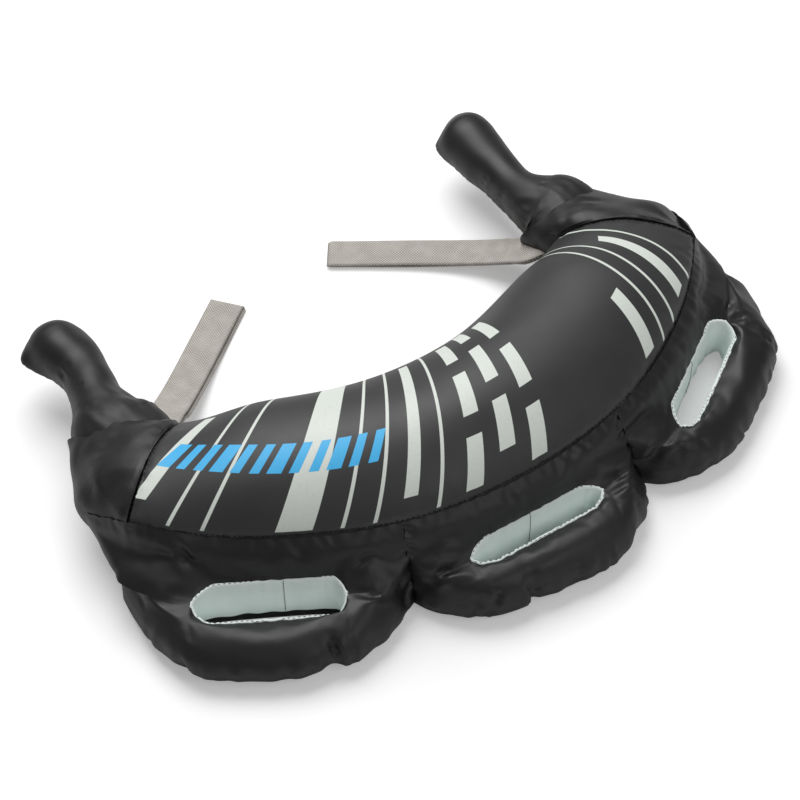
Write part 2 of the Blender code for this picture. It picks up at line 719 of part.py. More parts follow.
def outward_faces(mesh):
    """Turn the faces of a closed mesh outwards."""
    work = bmesh.new()
    work.from_mesh(mesh)
    bmesh.ops.recalc_face_normals(work, faces=work.faces)
    work.to_mesh(mesh)
    work.free()


panel("top_panel", "top", -END_BEARING, END_BEARING, PANEL_GREY, 0.5)
panel("base_panel", "base", -END_BEARING, END_BEARING, BLACK, 0.42)
for part_name, (first_bearing, last_bearing) in BAND_ENDS.items():
    panel(f"side_band_{part_name}", "band", first_bearing, last_bearing, BLACK, 0.42)
    sand_bag(f"sand_bag_{part_name}", first_bearing, last_bearing)
for part_name in SIDES:
    end_cap(part_name)
    cap_filling(part_name)
    horn(part_name)
    strap(part_name)
    strap_tail(part_name)
for part_name in GRIPS:
    grip(part_name)
    slot_lining(part_name)
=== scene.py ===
# %% [markdown]
# # A bulgarian bag
# This lesson dresses the plain CAD model of a bulgarian bag, a sand-filled crescent that athletes swing
# by its horns, grips and straps. Each piece is made where its solid lies, in metres. The belly and its
# seam stitches ride on the body of the bag, and the other pieces are baked in place.

# %% The frame and the libraries
import math

import bmesh
import bpy
import numpy as np
from mathutils import Matrix
from mathutils.bvhtree import BVHTree


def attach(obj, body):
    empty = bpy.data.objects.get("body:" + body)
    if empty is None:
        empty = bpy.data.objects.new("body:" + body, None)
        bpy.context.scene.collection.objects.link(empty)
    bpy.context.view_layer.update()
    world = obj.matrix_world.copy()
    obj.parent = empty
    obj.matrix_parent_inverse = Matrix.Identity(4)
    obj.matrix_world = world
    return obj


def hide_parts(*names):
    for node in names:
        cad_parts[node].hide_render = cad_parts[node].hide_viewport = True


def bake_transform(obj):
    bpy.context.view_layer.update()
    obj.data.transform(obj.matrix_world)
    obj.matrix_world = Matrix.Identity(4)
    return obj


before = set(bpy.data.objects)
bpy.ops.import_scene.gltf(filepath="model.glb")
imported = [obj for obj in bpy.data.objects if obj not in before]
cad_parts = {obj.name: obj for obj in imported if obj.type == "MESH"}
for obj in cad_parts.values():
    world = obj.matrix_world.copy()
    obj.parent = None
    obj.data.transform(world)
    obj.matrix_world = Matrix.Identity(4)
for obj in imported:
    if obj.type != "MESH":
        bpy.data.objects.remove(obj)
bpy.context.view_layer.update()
MM = 0.001

# %% [markdown]
# ## Camera, floor and light
# The photograph was taken from the front left, well above the bag, with a long lens. A camera is a
# place, three directions and a focal length, so those are what is written here.

# %% The camera
VIEW_AZIMUTH = -0.55033
VIEW_ELEVATION = 0.82051
VIEW_DISTANCE = 2.27186
VIEW_ROLL = -0.04695
VIEW_TARGET = np.array([0.005607, 0.110134, 0.0])
FOCAL_PIXELS = 2785.13
PICTURE_SIDE = 800
SENSOR = 36
LENS = FOCAL_PIXELS * SENSOR / PICTURE_SIDE

def camera_axes():
    """Right, up and backwards of the camera, as unit vectors."""
    sin_a, cos_a = math.sin(VIEW_AZIMUTH), math.cos(VIEW_AZIMUTH)
    sin_e, cos_e = math.sin(VIEW_ELEVATION), math.cos(VIEW_ELEVATION)
    back = np.array([sin_a * cos_e, -cos_a * cos_e, sin_e])
    level = np.array([cos_a, sin_a, 0.0])
    upward = np.cross(back, level)
    right = level * math.cos(VIEW_ROLL) + upward * math.sin(VIEW_ROLL)
    up = upward * math.cos(VIEW_ROLL) - level * math.sin(VIEW_ROLL)
    return right, up, back

right_axis, up_axis, back_axis = camera_axes()
eye = VIEW_TARGET + back_axis * VIEW_DISTANCE
camera = bpy.data.objects.new("camera", bpy.data.cameras.new("camera"))
bpy.context.scene.collection.objects.link(camera)
camera.data.lens = LENS
camera.data.sensor_width = SENSOR
rows = [[*row, offset] for row, offset in zip(np.stack([right_axis, up_axis, back_axis], 1), eye)]
camera.matrix_world = Matrix([*rows, [0, 0, 0, 1]])
bpy.context.scene.camera = camera
print("camera at", np.round(eye, 3), "lens", round(LENS, 1))

# %% [markdown]
# A fold of the cloth has no drawing to take it from. Its place is given here as a point of the
# 800 x 800 picture, and a ray from the camera finds that point on the piece.

# %% Rays from the camera
PICTURE_MIDDLE = PICTURE_SIDE / 2

def picture_ray(spot):
    """The direction in which the camera sees a point of the picture."""
    aim = (-back_axis + right_axis * (spot[0] - PICTURE_MIDDLE) / FOCAL_PIXELS
           - up_axis * (spot[1] - PICTURE_MIDDLE) / FOCAL_PIXELS)
    return aim / np.linalg.norm(aim)

# %% [markdown]
# Shaders, worlds and modifiers are all trees of nodes. A few helpers add a node with its values and
# links in one call, and lay each tree out in columns, so that it can be read in the editor too.

# %% Adding and linking nodes
NODE_STEP = (220, 180)

def put(tree, socket, value):
    """Link a socket to another one, or give it a plain value."""
    if isinstance(value, bpy.types.NodeSocket):
        tree.links.new(value, socket)
    else:
        socket.default_value = value

def node(tree, kind, inputs=(), **values):
    """Add a node. Values go to sockets or properties by name, and inputs to its sockets in order."""
    made = tree.nodes.new(kind)
    for name, value in values.items():
        label = name.replace("_", " ")
        if label in made.inputs:
            put(tree, made.inputs[label], value)
        else:
            setattr(made, name, value)
    for socket, value in zip(made.inputs, inputs):
        put(tree, socket, value)
    return made

def math_node(tree, operation, *values, clamp=False):
    """The output of a Math node whose inputs are sockets or numbers."""
    return node(tree, "ShaderNodeMath", values, operation=operation, use_clamp=clamp).outputs[0]

def new_group(name, kind, inputs, outputs, output_kind="NodeSocketFloat"):
    """A node group and its inputs' sockets. Each input has a default value or a kind of socket."""
    tree = bpy.data.node_groups.new(name, kind)
    for label, default in inputs.items():
        if isinstance(default, str):
            tree.interface.new_socket(name=label, in_out="INPUT", socket_type=default)
        else:
            made = tree.interface.new_socket(name=label, in_out="INPUT", socket_type="NodeSocketFloat")
            made.default_value = default
    for label in outputs:
        tree.interface.new_socket(name=label, in_out="OUTPUT", socket_type=output_kind)
    return tree, node(tree, "NodeGroupInput").outputs

def arrange(tree):
    """Lay the nodes out in columns, each to the right of what feeds it."""
    depth = dict.fromkeys(tree.nodes.keys(), 0)
    for _ in range(len(depth)):
        before = dict(depth)
        for link in tree.links:
            depth[link.to_node.name] = max(depth[link.to_node.name], depth[link.from_node.name] + 1)
        if depth == before:
            break
    filled = {}
    for made in tree.nodes:
        column = depth[made.name]
        filled[column] = filled.get(column, 0) + 1
        made.location = (NODE_STEP[0] * column, -NODE_STEP[1] * filled[column])

# %% [markdown]
# The studio is a white floor under one big soft lamp and a smaller one for shape. The floor adds a
# little white of its own for the camera alone, so that it reads as white without lighting the bag more.

# %% Floor, world and lamps
FLOOR_WHITE = 0.86
FLOOR_GLOW = 0.30
FLOOR_SIZE = 8.0
WORLD_STRENGTH = 0.27
LAMP_TARGET = (0, 0.1, 0)
# Each lamp: place, size in metres and power in watts
LAMPS = {"softbox": ((0.25, 1.2, 2.0), 1.8, 47), "front_fill": ((0.5, -1.7, 1.5), 1.4, 8)}

def camera_choice(tree, others, seen):
    """A shader that the camera sees as one thing and the light as another."""
    path = node(tree, "ShaderNodeLightPath").outputs["Is Camera Ray"]
    return node(tree, "ShaderNodeMixShader", (path, others.outputs[0], seen.outputs[0])).outputs[0]

def floor_material():
    made = bpy.data.materials.new("studio_floor")
    made.use_nodes = True
    tree = made.node_tree
    tree.nodes.clear()
    matte = node(tree, "ShaderNodeBsdfDiffuse", Color=(FLOOR_WHITE, FLOOR_WHITE, FLOOR_WHITE, 1))
    glow = node(tree, "ShaderNodeEmission", Strength=FLOOR_GLOW)
    both = node(tree, "ShaderNodeAddShader", (matte.outputs[0], glow.outputs[0]))
    node(tree, "ShaderNodeOutputMaterial", Surface=camera_choice(tree, matte, both))
    arrange(tree)
    return made

def studio_world():
    world = bpy.data.worlds.new("studio")
    world.use_nodes = True
    tree = world.node_tree
    tree.nodes.clear()
    soft = node(tree, "ShaderNodeBackground", Strength=WORLD_STRENGTH)
    white = node(tree, "ShaderNodeBackground", Strength=1.0)
    node(tree, "ShaderNodeOutputWorld", Surface=camera_choice(tree, soft, white))
    arrange(tree)
    return world

def add_lamp(name, spot, size, power):
    """A square area lamp that looks at the bag."""
    light = bpy.data.lights.new(name, "AREA")
    light.size = size
    light.energy = power
    made = bpy.data.objects.new(name, light)
    bpy.context.scene.collection.objects.link(made)
    made.location = spot
    aim = np.array(LAMP_TARGET) - np.array(spot)
    z_axis = -aim / np.linalg.norm(aim)
    x_axis = np.cross([0.0, 1.0, 0.001], z_axis)
    x_axis /= np.linalg.norm(x_axis)
    direction = Matrix(np.stack([x_axis, np.cross(z_axis, x_axis), z_axis], 1).tolist())
    made.rotation_euler = direction.to_euler()

bpy.ops.mesh.primitive_plane_add(size=FLOOR_SIZE)
floor = bpy.context.object
floor.name = "studio_floor"
floor.data.materials.append(floor_material())
bpy.context.scene.world = studio_world()
for lamp_name, (spot, size, power) in LAMPS.items():
    add_lamp(lamp_name, spot, size, power)
bpy.context.scene.view_settings.view_transform = "Standard"

# %% [markdown]
# ## The section of the crescent
# The bag is one section swept along an arc of a circle. A place on it is a radius from the arc's
# centre, a bearing from straight ahead, and a height, and the section's own curves are parts of
# ellipses between the seams. The same numbers shape the CAD model, so the pieces land on it.

# %% Section sizes
ARC_RADIUS = 0.290
END_BEARING = math.radians(50.0)
JUNCTION_BEARING = math.radians(16.0)
GRIP_BEARING = math.radians(32.5)
SECTION_MIDDLE = 0.288
WAIST_HEIGHT = 0.052
SEAM_HEIGHT = 0.075
SEAM_RADIUS = 0.3595
BELLY_ROUND = 0.032
BAND_BULGE = 0.005
BAND_ROUND = 0.0275
BAND_MIDDLE = 0.050
# The belly in the middle of the bag, and what it loses towards the ends
BELLY_REACH, REACH_TAPER = 0.080, 0.020
BELLY_RISE, RISE_TAPER = 0.066, 0.012
SEAM_DRAW = 0.009
# From this share of the way to an end the belly droops: it sinks, moves outwards and falls steeper
DROOP_START = 0.6
DROOP_SINK = 0.0145
DROOP_SHIFT_LEFT, DROOP_SHIFT_RIGHT = 0.0110, 0.0055
DROOP_SPREAD_LEFT = 0.008
DROOP_FALL = 0.18

def place(radius, bearing, height):
    """Row-frame points for radii, bearings and heights of any matching shapes."""
    radius, bearing, height = np.broadcast_arrays(radius, bearing, height)
    return np.stack([radius * np.sin(bearing), ARC_RADIUS - radius * np.cos(bearing), height], -1)

def section_sizes(bearing):
    """Seam radius, belly reach, rise above the waist, band's centre, belly's middle and inner fall."""
    along = np.abs(bearing) / END_BEARING
    taper = np.maximum(0.0, 2 * along - 1) ** 2 * 0.5 + along ** 2 * 0.5
    share = np.clip((along - DROOP_START) / (1 - DROOP_START), 0, 1)
    droop = (share * share * (3 - 2 * share)) ** 1.5
    seam_radius = SEAM_RADIUS - SEAM_DRAW * along ** 2
    at_left = np.asarray(bearing) < 0
    reach = BELLY_REACH - REACH_TAPER * taper + DROOP_SPREAD_LEFT * droop * at_left
    rise = BELLY_RISE - RISE_TAPER * taper - DROOP_SINK * droop
    middle = SECTION_MIDDLE + np.where(at_left, DROOP_SHIFT_LEFT, DROOP_SHIFT_RIGHT) * droop
    return seam_radius, reach, rise, seam_radius + BAND_BULGE - BAND_ROUND, middle, 1 + DROOP_FALL * droop

def section_outline(bearing, counts):
    """The closed section: from the outer seam over the top and round, as radii and heights."""
    seam_radius, reach, rise, band_centre, middle, fall = section_sizes(bearing)
    seam_angle = math.asin((SEAM_HEIGHT - WAIST_HEIGHT) / rise)
    outer_reach = (seam_radius - middle) / math.cos(seam_angle)
    band_seam = math.acos((BAND_ROUND - BAND_BULGE) / BAND_ROUND)
    band_rise = (SEAM_HEIGHT - BAND_MIDDLE) / math.sin(band_seam)
    arcs = (
        (middle, WAIST_HEIGHT, outer_reach, rise, seam_angle, math.pi / 2, 1),
        (middle, WAIST_HEIGHT, reach, rise, math.pi / 2, math.pi, fall),
        (middle - reach + BELLY_ROUND, WAIST_HEIGHT, BELLY_ROUND, WAIST_HEIGHT, math.pi, 1.5 * math.pi, 1),
        None,
        (band_centre, BAND_MIDDLE, BAND_ROUND, BAND_MIDDLE, -math.pi / 2, 0, 1),
        (band_centre, BAND_MIDDLE, BAND_ROUND, band_rise, 0, band_seam, 1),
    )
    radii, heights = [], []
    for arc, count in zip(arcs, counts):
        share = np.arange(count) / count
        if arc is None:
            start = middle - reach + BELLY_ROUND
            radii.append(start + (band_centre - start) * share)
            heights.append(np.zeros(count))
            continue
        centre, level, across, tall, first, last, power = arc
        angle = first + (last - first) * share
        cos, sin = np.cos(angle), np.sin(angle)
        radii.append(centre + across * np.sign(cos) * np.abs(cos) ** power)
        heights.append(level + tall * np.sign(sin) * np.abs(sin) ** power)
    return np.concatenate(radii), np.concatenate(heights)

# %% [markdown]
# ## Helpers for sewn shells
# Every padded piece is a grid of points joined by quads: rings round a tube, or columns along a
# skirt. A smooth reading of a small table of sizes gives the rings between the ones that are known.

# %% Reading tables and joining grids
def unit(vectors):
    """Vectors at length one."""
    return vectors / np.linalg.norm(vectors, axis=-1, keepdims=True)

def closed(line):
    """A line of points that ends where it starts."""
    return np.concatenate([line, line[:1]])

def lengths_along(line):
    """How far along a line each of its points lies."""
    return np.concatenate([[0], np.cumsum(np.linalg.norm(np.diff(line, axis=0), axis=1))])

def line_at(line, lengths, at):
    """Points of a line at the given lengths."""
    return np.stack([np.interp(at, lengths, line[:, axis]) for axis in range(3)], 1)

def hermite(keys, values, tangents, at):
    """Read a curve of cubic pieces with given tangents. Values may have more axes."""
    extra = (1,) * (values.ndim - 1)
    index = np.clip(np.searchsorted(keys, at, "right") - 1, 0, len(keys) - 2)
    width = keys[index + 1] - keys[index]
    t = np.clip((at - keys[index]) / width, 0, 1).reshape(at.shape + extra)
    width = width.reshape(at.shape + extra)
    return ((2 * t ** 3 - 3 * t ** 2 + 1) * values[index]
            + (t ** 3 - 2 * t ** 2 + t) * width * tangents[index]
            + (3 * t ** 2 - 2 * t ** 3) * values[index + 1] + (t ** 3 - t ** 2) * width * tangents[index + 1])

def smooth_read(keys, values, at):
    """Read a table without overshoot (monotone cubic)."""
    keys, values, at = np.asarray(keys, float), np.asarray(values, float), np.asarray(at, float)
    slopes = np.diff(values, axis=0) / np.diff(keys).reshape(-1, *(1,) * (values.ndim - 1))
    tangents = np.empty_like(values)
    tangents[0], tangents[-1] = slopes[0], slopes[-1]
    product, total = slopes[:-1] * slopes[1:], slopes[:-1] + slopes[1:]
    mean = 2 * product / np.where(np.abs(total) < 1e-12, 1, total)
    tangents[1:-1] = np.where(product > 0, mean, 0)
    return hermite(keys, values, tangents, at)

def curve_through(keys, values, at):
    """A smooth curve through the values at the keys (Catmull-Rom with uneven steps)."""
    gaps = np.diff(keys).reshape(-1, *(1,) * (values.ndim - 1))
    slopes = np.diff(values, axis=0) / gaps
    tangents = np.empty_like(values)
    tangents[0], tangents[-1] = slopes[0], slopes[-1]
    tangents[1:-1] = (slopes[:-1] * gaps[1:] + slopes[1:] * gaps[:-1]) / (gaps[1:] + gaps[:-1])
    return hermite(keys, values, tangents, at)

def numbered(grid):
    """The point numbers of a grid of points."""
    return np.arange(grid.shape[0] * grid.shape[1]).reshape(grid.shape[:2])

def grid_faces(ids, close_columns=False):
    """Quads between the neighbours of a grid of point numbers."""
    if close_columns:
        ids = np.concatenate([ids, ids[:, :1]], 1)
    return np.stack([ids[:-1, :-1], ids[1:, :-1], ids[1:, 1:], ids[:-1, 1:]], -1).reshape(-1, 4)

def tube_faces(grid):
    """The faces of a closed tube of rings, with both ends filled."""
    ids = numbered(grid)
    return [list(face) for face in grid_faces(ids, close_columns=True)] + [ids[0].tolist(), ids[-1].tolist()]

def new_piece(name, points, faces, material):
    """A mesh object of points and faces, with its doubled points merged and its faces outwards."""
    mesh = bpy.data.meshes.new(name)
    clean = []
    for face in faces:
        corners = list(dict.fromkeys(int(corner) for corner in face))
        if len(corners) > 2:
            clean.append(corners)
    mesh.from_pydata(np.asarray(points).reshape(-1, 3).tolist(), [], clean)
    work = bmesh.new()
    work.from_mesh(mesh)
    bmesh.ops.recalc_face_normals(work, faces=work.faces)
    work.to_mesh(mesh)
    work.free()
    mesh.shade_smooth()
    piece = bpy.data.objects.new(name, mesh)
    bpy.context.scene.collection.objects.link(piece)
    mesh.materials.append(material)
    return piece

def point_values(mesh, name):
    """A vector value of a mesh's points as an array."""
    flat = np.empty(len(mesh.vertices) * 3)
    mesh.vertices.foreach_get(name, flat)
    return flat.reshape(-1, 3)

def coordinates(piece):
    return point_values(piece.data, "co")

def normals(piece):
    return point_values(piece.data, "normal")

def set_coordinates(piece, points):
    piece.data.vertices.foreach_set("co", np.ascontiguousarray(points).ravel())
    piece.data.update()

def add_chart(piece, name, chart):
    """Lay out a piece's face corners by a chart of two columns."""
    piece.data.uv_layers.new(name=name).data.foreach_set("uv", chart.ravel())

def corner_points(piece):
    """The point number of each face corner."""
    loops = np.empty(len(piece.data.loops), int)
    piece.data.loops.foreach_get("vertex_index", loops)
    return loops

# %% [markdown]
# A stuffed cover folds where it is gathered, sewn or bent. A fold is a groove with a low swelling on
# either side of it, pressed into the finished surface along its normals.

# %% Folds and creases
FOLD_STEP = 4
FOLD_SHOULDER, FOLD_SHOULDER_AT, FOLD_SHOULDER_WIDTH = 0.55, 1.9, 0.9

def shell_tree(piece):
    """A search tree of a piece's faces."""
    faces = [tuple(face.vertices) for face in piece.data.polygons]
    return BVHTree.FromPolygons([tuple(point.co) for point in piece.data.vertices], faces)

def seen_points(tree, spots):
    """Where the camera sees the spots of the picture on a piece, with points between them."""
    found = []
    for first, second in zip(spots, spots[1:]):
        steps = max(2, int(math.dist(first, second) / FOLD_STEP))
        for step in range(steps + 1):
            spot = np.array(first) + (np.array(second) - first) * step / steps
            hit = tree.ray_cast(tuple(eye), tuple(picture_ray(spot)))[0]
            if hit is not None:
                found.append(np.array(hit))
    return np.array(found)

def press_folds(piece, folds):
    """Press folds into a piece. Each is its spots in the picture, its width and depth in mm."""
    tree = shell_tree(piece)
    points, outwards = coordinates(piece), normals(piece)
    total = np.zeros(len(points))
    for spots, width, depth in folds:
        line = seen_points(tree, spots)
        if len(line) < 2:
            print("a fold misses", piece.name, spots[0])
            continue
        away = np.linalg.norm(points[:, None] - line[None], axis=2)
        nearest = away.argmin(1)
        distance = away.min(1) / (width * MM)
        share = nearest / (len(line) - 1)
        fade = np.clip(np.minimum(share + 0.12, (1 - share) * 1.6), 0, 1)
        fade = fade * fade * (3 - 2 * fade)
        shoulder = np.exp(-((distance - FOLD_SHOULDER_AT) / FOLD_SHOULDER_WIDTH) ** 2)
        groove = np.exp(-distance ** 2) - FOLD_SHOULDER * shoulder
        total -= depth * MM * groove * fade
    set_coordinates(piece, points + outwards * total[:, None])

# %% [markdown]
# Where a long edge of cloth is sewn to a shorter one, the seam draws it into small gathers: short
# folds across the seam that die away from it. They are grooves of random place, width and length.

# %% Gathers along a seam
GATHER_SHOULDER, GATHER_SHOULDER_AT, GATHER_SHOULDER_WIDTH = 0.6, 1.8, 0.9
# Distances are measured from this many points at a time, to spare memory
POINTS_AT_ONCE = 2000

def gather(piece, line, seed, every=9.0, width=2.2, reach=12.0, depth=0.6, lean=0.25):
    """Draw a piece into gathers along a line of points. Sizes in millimetres."""
    source = np.random.default_rng(seed)
    lengths = lengths_along(line)
    at = np.arange(0, lengths[-1], MM)
    dense = line_at(line, lengths, at)
    points, outwards = coordinates(piece), normals(piece)
    near = np.flatnonzero((points > dense.min(0) - 3 * reach * MM).all(1)
                          & (points < dense.max(0) + 3 * reach * MM).all(1))
    away, along = np.empty(len(near)), np.empty(len(near))
    for start in range(0, len(near), POINTS_AT_ONCE):
        part = slice(start, start + POINTS_AT_ONCE)
        gaps = np.linalg.norm(points[near[part]][:, None] - dense[None], axis=2)
        away[part] = gaps.min(1)
        along[part] = at[gaps.argmin(1)]
    total = np.zeros(len(near))
    spot = source.uniform(0, every) * MM
    while spot < lengths[-1]:
        wide = width * source.uniform(0.7, 1.5) * MM
        long = reach * source.uniform(0.45, 1.6) * MM
        deep = depth * source.uniform(0.3, 1.3) * MM
        slant = source.normal() * lean
        offset = np.abs(along - spot - slant * away) / (wide * (1 + 0.5 * away / long))
        shoulder = np.exp(-((offset - GATHER_SHOULDER_AT) / GATHER_SHOULDER_WIDTH) ** 2)
        groove = np.exp(-offset ** 2) - GATHER_SHOULDER * shoulder
        total += deep * groove * np.exp(-(away / long) ** 1.6)
        spot += every * source.uniform(0.5, 1.5) * MM
    points[near] -= outwards[near] * total[:, None]
    set_coordinates(piece, points)

# %% [markdown]
# ## Leatherette
# The covers are black artificial leather with a soft satin face: fine grain, faint patches where the
# coating is duller, and scuffs. A shader group gives the grain's height and a mask of the patches, and
# each finish keeps its own shader with its own colour and gloss.

# %% Leather grain group
def grain_group():
    """Height of a fine pebbled grain, and a slow mask of duller patches, from a position."""
    group, get = new_group("leather_grain", "ShaderNodeTree",
                           {"Position": "NodeSocketVector", "Grain Scale": 900.0, "Patch Scale": 22.0},
                           ("Height", "Patches"))
    spot, scale = get["Position"], get["Grain Scale"]
    pebbles = node(group, "ShaderNodeTexVoronoi", feature="F1", Vector=spot, Scale=scale)
    creases = node(group, "ShaderNodeTexNoise", Vector=spot, Scale=scale, Detail=6.0, Roughness=0.6)
    slow = node(group, "ShaderNodeTexNoise", Vector=spot, Scale=get["Patch Scale"], Detail=3.0,
                Roughness=0.55)
    height = math_node(group, "MULTIPLY_ADD", pebbles.outputs["Distance"], 0.6, creases.outputs["Fac"])
    node(group, "NodeGroupOutput", Height=height, Patches=slow.outputs["Fac"])
    arrange(group)
    return group

GRAIN = grain_group()
GRAIN_DEPTH = 0.0006

# %% Finishes from masks
SKIRT_BLACKS = (0.006, 0.006, 0.0065), (0.010, 0.010, 0.0105)
SKIRT_GLOSS = 0.40, 0.52

def in_range(tree, source, low, high, from_low=0.3, from_high=0.7):
    """Map a mask to a range of values."""
    made = node(tree, "ShaderNodeMapRange", Value=source, From_Min=from_low, From_Max=from_high,
                To_Min=low, To_Max=high)
    return made.outputs["Result"]

def mix_colours(tree, mask, first, second):
    """A colour mix whose inputs are sockets or plain colours."""
    made = node(tree, "ShaderNodeMix", data_type="RGBA", Factor=mask)
    sockets = [socket for socket in made.inputs if socket.type == "RGBA"]
    for socket, value in zip(sockets, (first, second)):
        put(tree, socket, (*value, 1) if isinstance(value, tuple) else value)
    return next(socket for socket in made.outputs if socket.type == "RGBA")

def new_finish(name):
    """A material, its tree, its shader's sockets, and the object's own coordinates."""
    made = bpy.data.materials.new(name)
    made.use_nodes = True
    tree = made.node_tree
    position = node(tree, "ShaderNodeTexCoord").outputs["Object"]
    return made, tree, tree.nodes["Principled BSDF"].inputs, position

def set_relief(tree, sockets, height, strength, depth):
    """Give a shader a relief from a height."""
    relief = node(tree, "ShaderNodeBump", Strength=strength, Distance=depth, Height=height)
    put(tree, sockets["Normal"], relief.outputs["Normal"])

def leather_material(name, blacks, gloss, bump=0.10):
    """Leatherette between two blacks and two degrees of gloss."""
    made, tree, sockets, position = new_finish(name)
    grain = node(tree, "ShaderNodeGroup", node_tree=GRAIN, Position=position).outputs
    put(tree, sockets["Base Color"], mix_colours(tree, grain["Patches"], *blacks))
    put(tree, sockets["Roughness"], in_range(tree, grain["Patches"], *gloss))
    set_relief(tree, sockets, grain["Height"], bump, GRAIN_DEPTH)
    arrange(tree)
    return made

skirt_leather = leather_material("satin_leatherette", SKIRT_BLACKS, SKIRT_GLOSS)
print("grain group has", len(GRAIN.nodes), "nodes")

# %% [markdown]
# ## The sand-filled belly
# Three sealed bags of sand fill a crescent of leatherette. It is hard and taut, so its surface is the
# swept section itself, drawn in a little at the seams and never quite even in between.

# %% The belly
BELLY_COUNTS = (34, 34, 12, 14, 12, 8)
BELLY_COLUMNS = 300
# How deep the seams draw the cloth in, and how far from them
SEAM_PULL, SEAM_PULL_REACH = 0.0016, 0.0035
END_PULL, END_PULL_REACH = 0.0018, 0.004
DENT_DEPTH, DENT_SIZE = 0.0008, 0.09
# Below the belly the chart is off the print
OFF_PRINT = 10.0

NOISE_WAVES = 14

def slow_noise(seed, positions, size):
    """Smooth noise in space from a few random waves, about -1 to 1."""
    source = np.random.default_rng(seed)
    total = np.zeros(positions.shape[:-1])
    for _ in range(NOISE_WAVES):
        direction = unit(source.normal(size=3))
        wave = 2 * math.pi / (size * source.uniform(0.7, 1.6))
        total += np.sin(positions @ direction * wave + source.uniform(0, 2 * math.pi))
    return total / math.sqrt(NOISE_WAVES)

def belly_piece(material):
    bearings = np.linspace(-END_BEARING, END_BEARING, BELLY_COLUMNS)
    columns = []
    for bearing in bearings:
        radii, heights = section_outline(bearing, BELLY_COUNTS)
        columns.append(place(radii, bearing, heights))
    points = np.array(columns)
    piece = new_piece("sand_belly", points, tube_faces(points), material)
    top_rows = BELLY_COUNTS[0] + BELLY_COUNTS[1]
    lengths = np.zeros(points.shape[:2])
    lengths[:, 1:] = np.cumsum(np.linalg.norm(np.diff(points, axis=1), axis=2), 1)
    along = bearings[:, None] * SECTION_MIDDLE * np.ones(points.shape[1])
    seam_pull = SEAM_PULL * np.exp(-(lengths / SEAM_PULL_REACH) ** 2)
    end_distance = (END_BEARING - np.abs(bearings))[:, None] * 0.3
    seam_pull = np.maximum(seam_pull, END_PULL * np.exp(-(end_distance / END_PULL_REACH) ** 2))
    shift = DENT_DEPTH * slow_noise(3, points, DENT_SIZE) - seam_pull
    shift[:, top_rows + 6:] = 0
    set_coordinates(piece, coordinates(piece) + normals(piece) * shift.reshape(-1, 1))
    loops = corner_points(piece)
    across = lengths.ravel()[loops]
    rows_of = np.tile(np.arange(points.shape[1]), len(points))[loops]
    for face in piece.data.polygons:
        corners = slice(face.loop_start, face.loop_start + face.loop_total)
        if rows_of[corners].max() >= top_rows + 2:
            across[corners] = OFF_PRINT
    add_chart(piece, "print", np.stack([along.ravel()[loops], across], 1))
    return piece, points, top_rows

# %% [markdown]
# ## The printed panel
# The top panel is screen-printed in a pale grey-green, with a few bars in bright blue. The print here
# is a plain design of stripes and slanted bars. One shader group draws one bar in the panel's own
# chart, in metres along the bag and across it, and is placed once for each bar. The ink lies on the
# grain and is rubbed thin in small spots.

# %% The bar group
EDGE_SOFTNESS = 0.0003

def bar_group():
    """A mask of one slanted bar in a chart: its middle, half width, slant, and where it starts and ends."""
    names = ("Along", "Across", "Middle", "Half Width", "Slant", "Start", "End")
    group, get = new_group("printed_bar", "ShaderNodeTree", dict.fromkeys(names, 0.0), ("Mask",))
    leaning = math_node(group, "MULTIPLY_ADD", get["Across"], get["Slant"], get["Along"])
    away = math_node(group, "ABSOLUTE", math_node(group, "SUBTRACT", leaning, get["Middle"]))
    masks = []
    for first, second in (
        (get["Half Width"], away), (get["Across"], get["Start"]), (get["End"], get["Across"]),
    ):
        room = math_node(group, "SUBTRACT", first, second)
        masks.append(math_node(group, "MULTIPLY_ADD", room, 1 / EDGE_SOFTNESS, 0.5, clamp=True))
    both = math_node(group, "MULTIPLY", masks[0], masks[1])
    node(group, "NodeGroupOutput", Mask=math_node(group, "MULTIPLY", both, masks[2]))
    arrange(group)
    return group

BAR = bar_group()
# Each bar: the middle where it meets the outer seam, half width, slant, start and end, in mm
LONG, THIN, SLANT = (4, 186), 1.3, -0.34
BLOCK = 6.0
PALE_BARS = (
    (-254, 5.0, SLANT, 20, 118), (-148, 11.5, SLANT, 5, 152), (-78, 4.6, SLANT, 18, 150),
    (126, BLOCK, SLANT, 10, 62), (186, BLOCK, SLANT, 10, 86),
    *((middle, THIN, SLANT, *LONG) for middle in (-226, -204, -118, -98, -58, 146, 164, 206)),
    *((middle, BLOCK, SLANT, *ends) for middle in (-34, 14) for ends in ((8, 46), (62, 100), (116, 152))),
    *((-10, BLOCK, SLANT, *ends) for ends in ((26, 64), (80, 118), (134, 160))),
)
BLUE_BARS = tuple((-262 + 13.4 * step, 3.4 if step % 3 else 5.0, -0.5, 50, 75) for step in range(12))
PALE_INK = (0.74, 0.79, 0.73)
BLUE_INK = (0.055, 0.50, 0.92)

def drawn_bars(tree, along, across, bars):
    """The union of some bars' masks."""
    union = None
    for middle, half_width, slant, start, end in bars:
        made = node(tree, "ShaderNodeGroup", node_tree=BAR, hide=True, Along=along, Across=across,
                    Middle=middle * MM, Half_Width=half_width * MM, Slant=slant,
                    Start=start * MM, End=end * MM)
        mask = made.outputs["Mask"]
        union = mask if union is None else math_node(tree, "MAXIMUM", union, mask)
    return union

PANEL_BLACKS = (0.026, 0.026, 0.028), (0.036, 0.036, 0.038)
PANEL_GLOSS = 0.44, 0.56

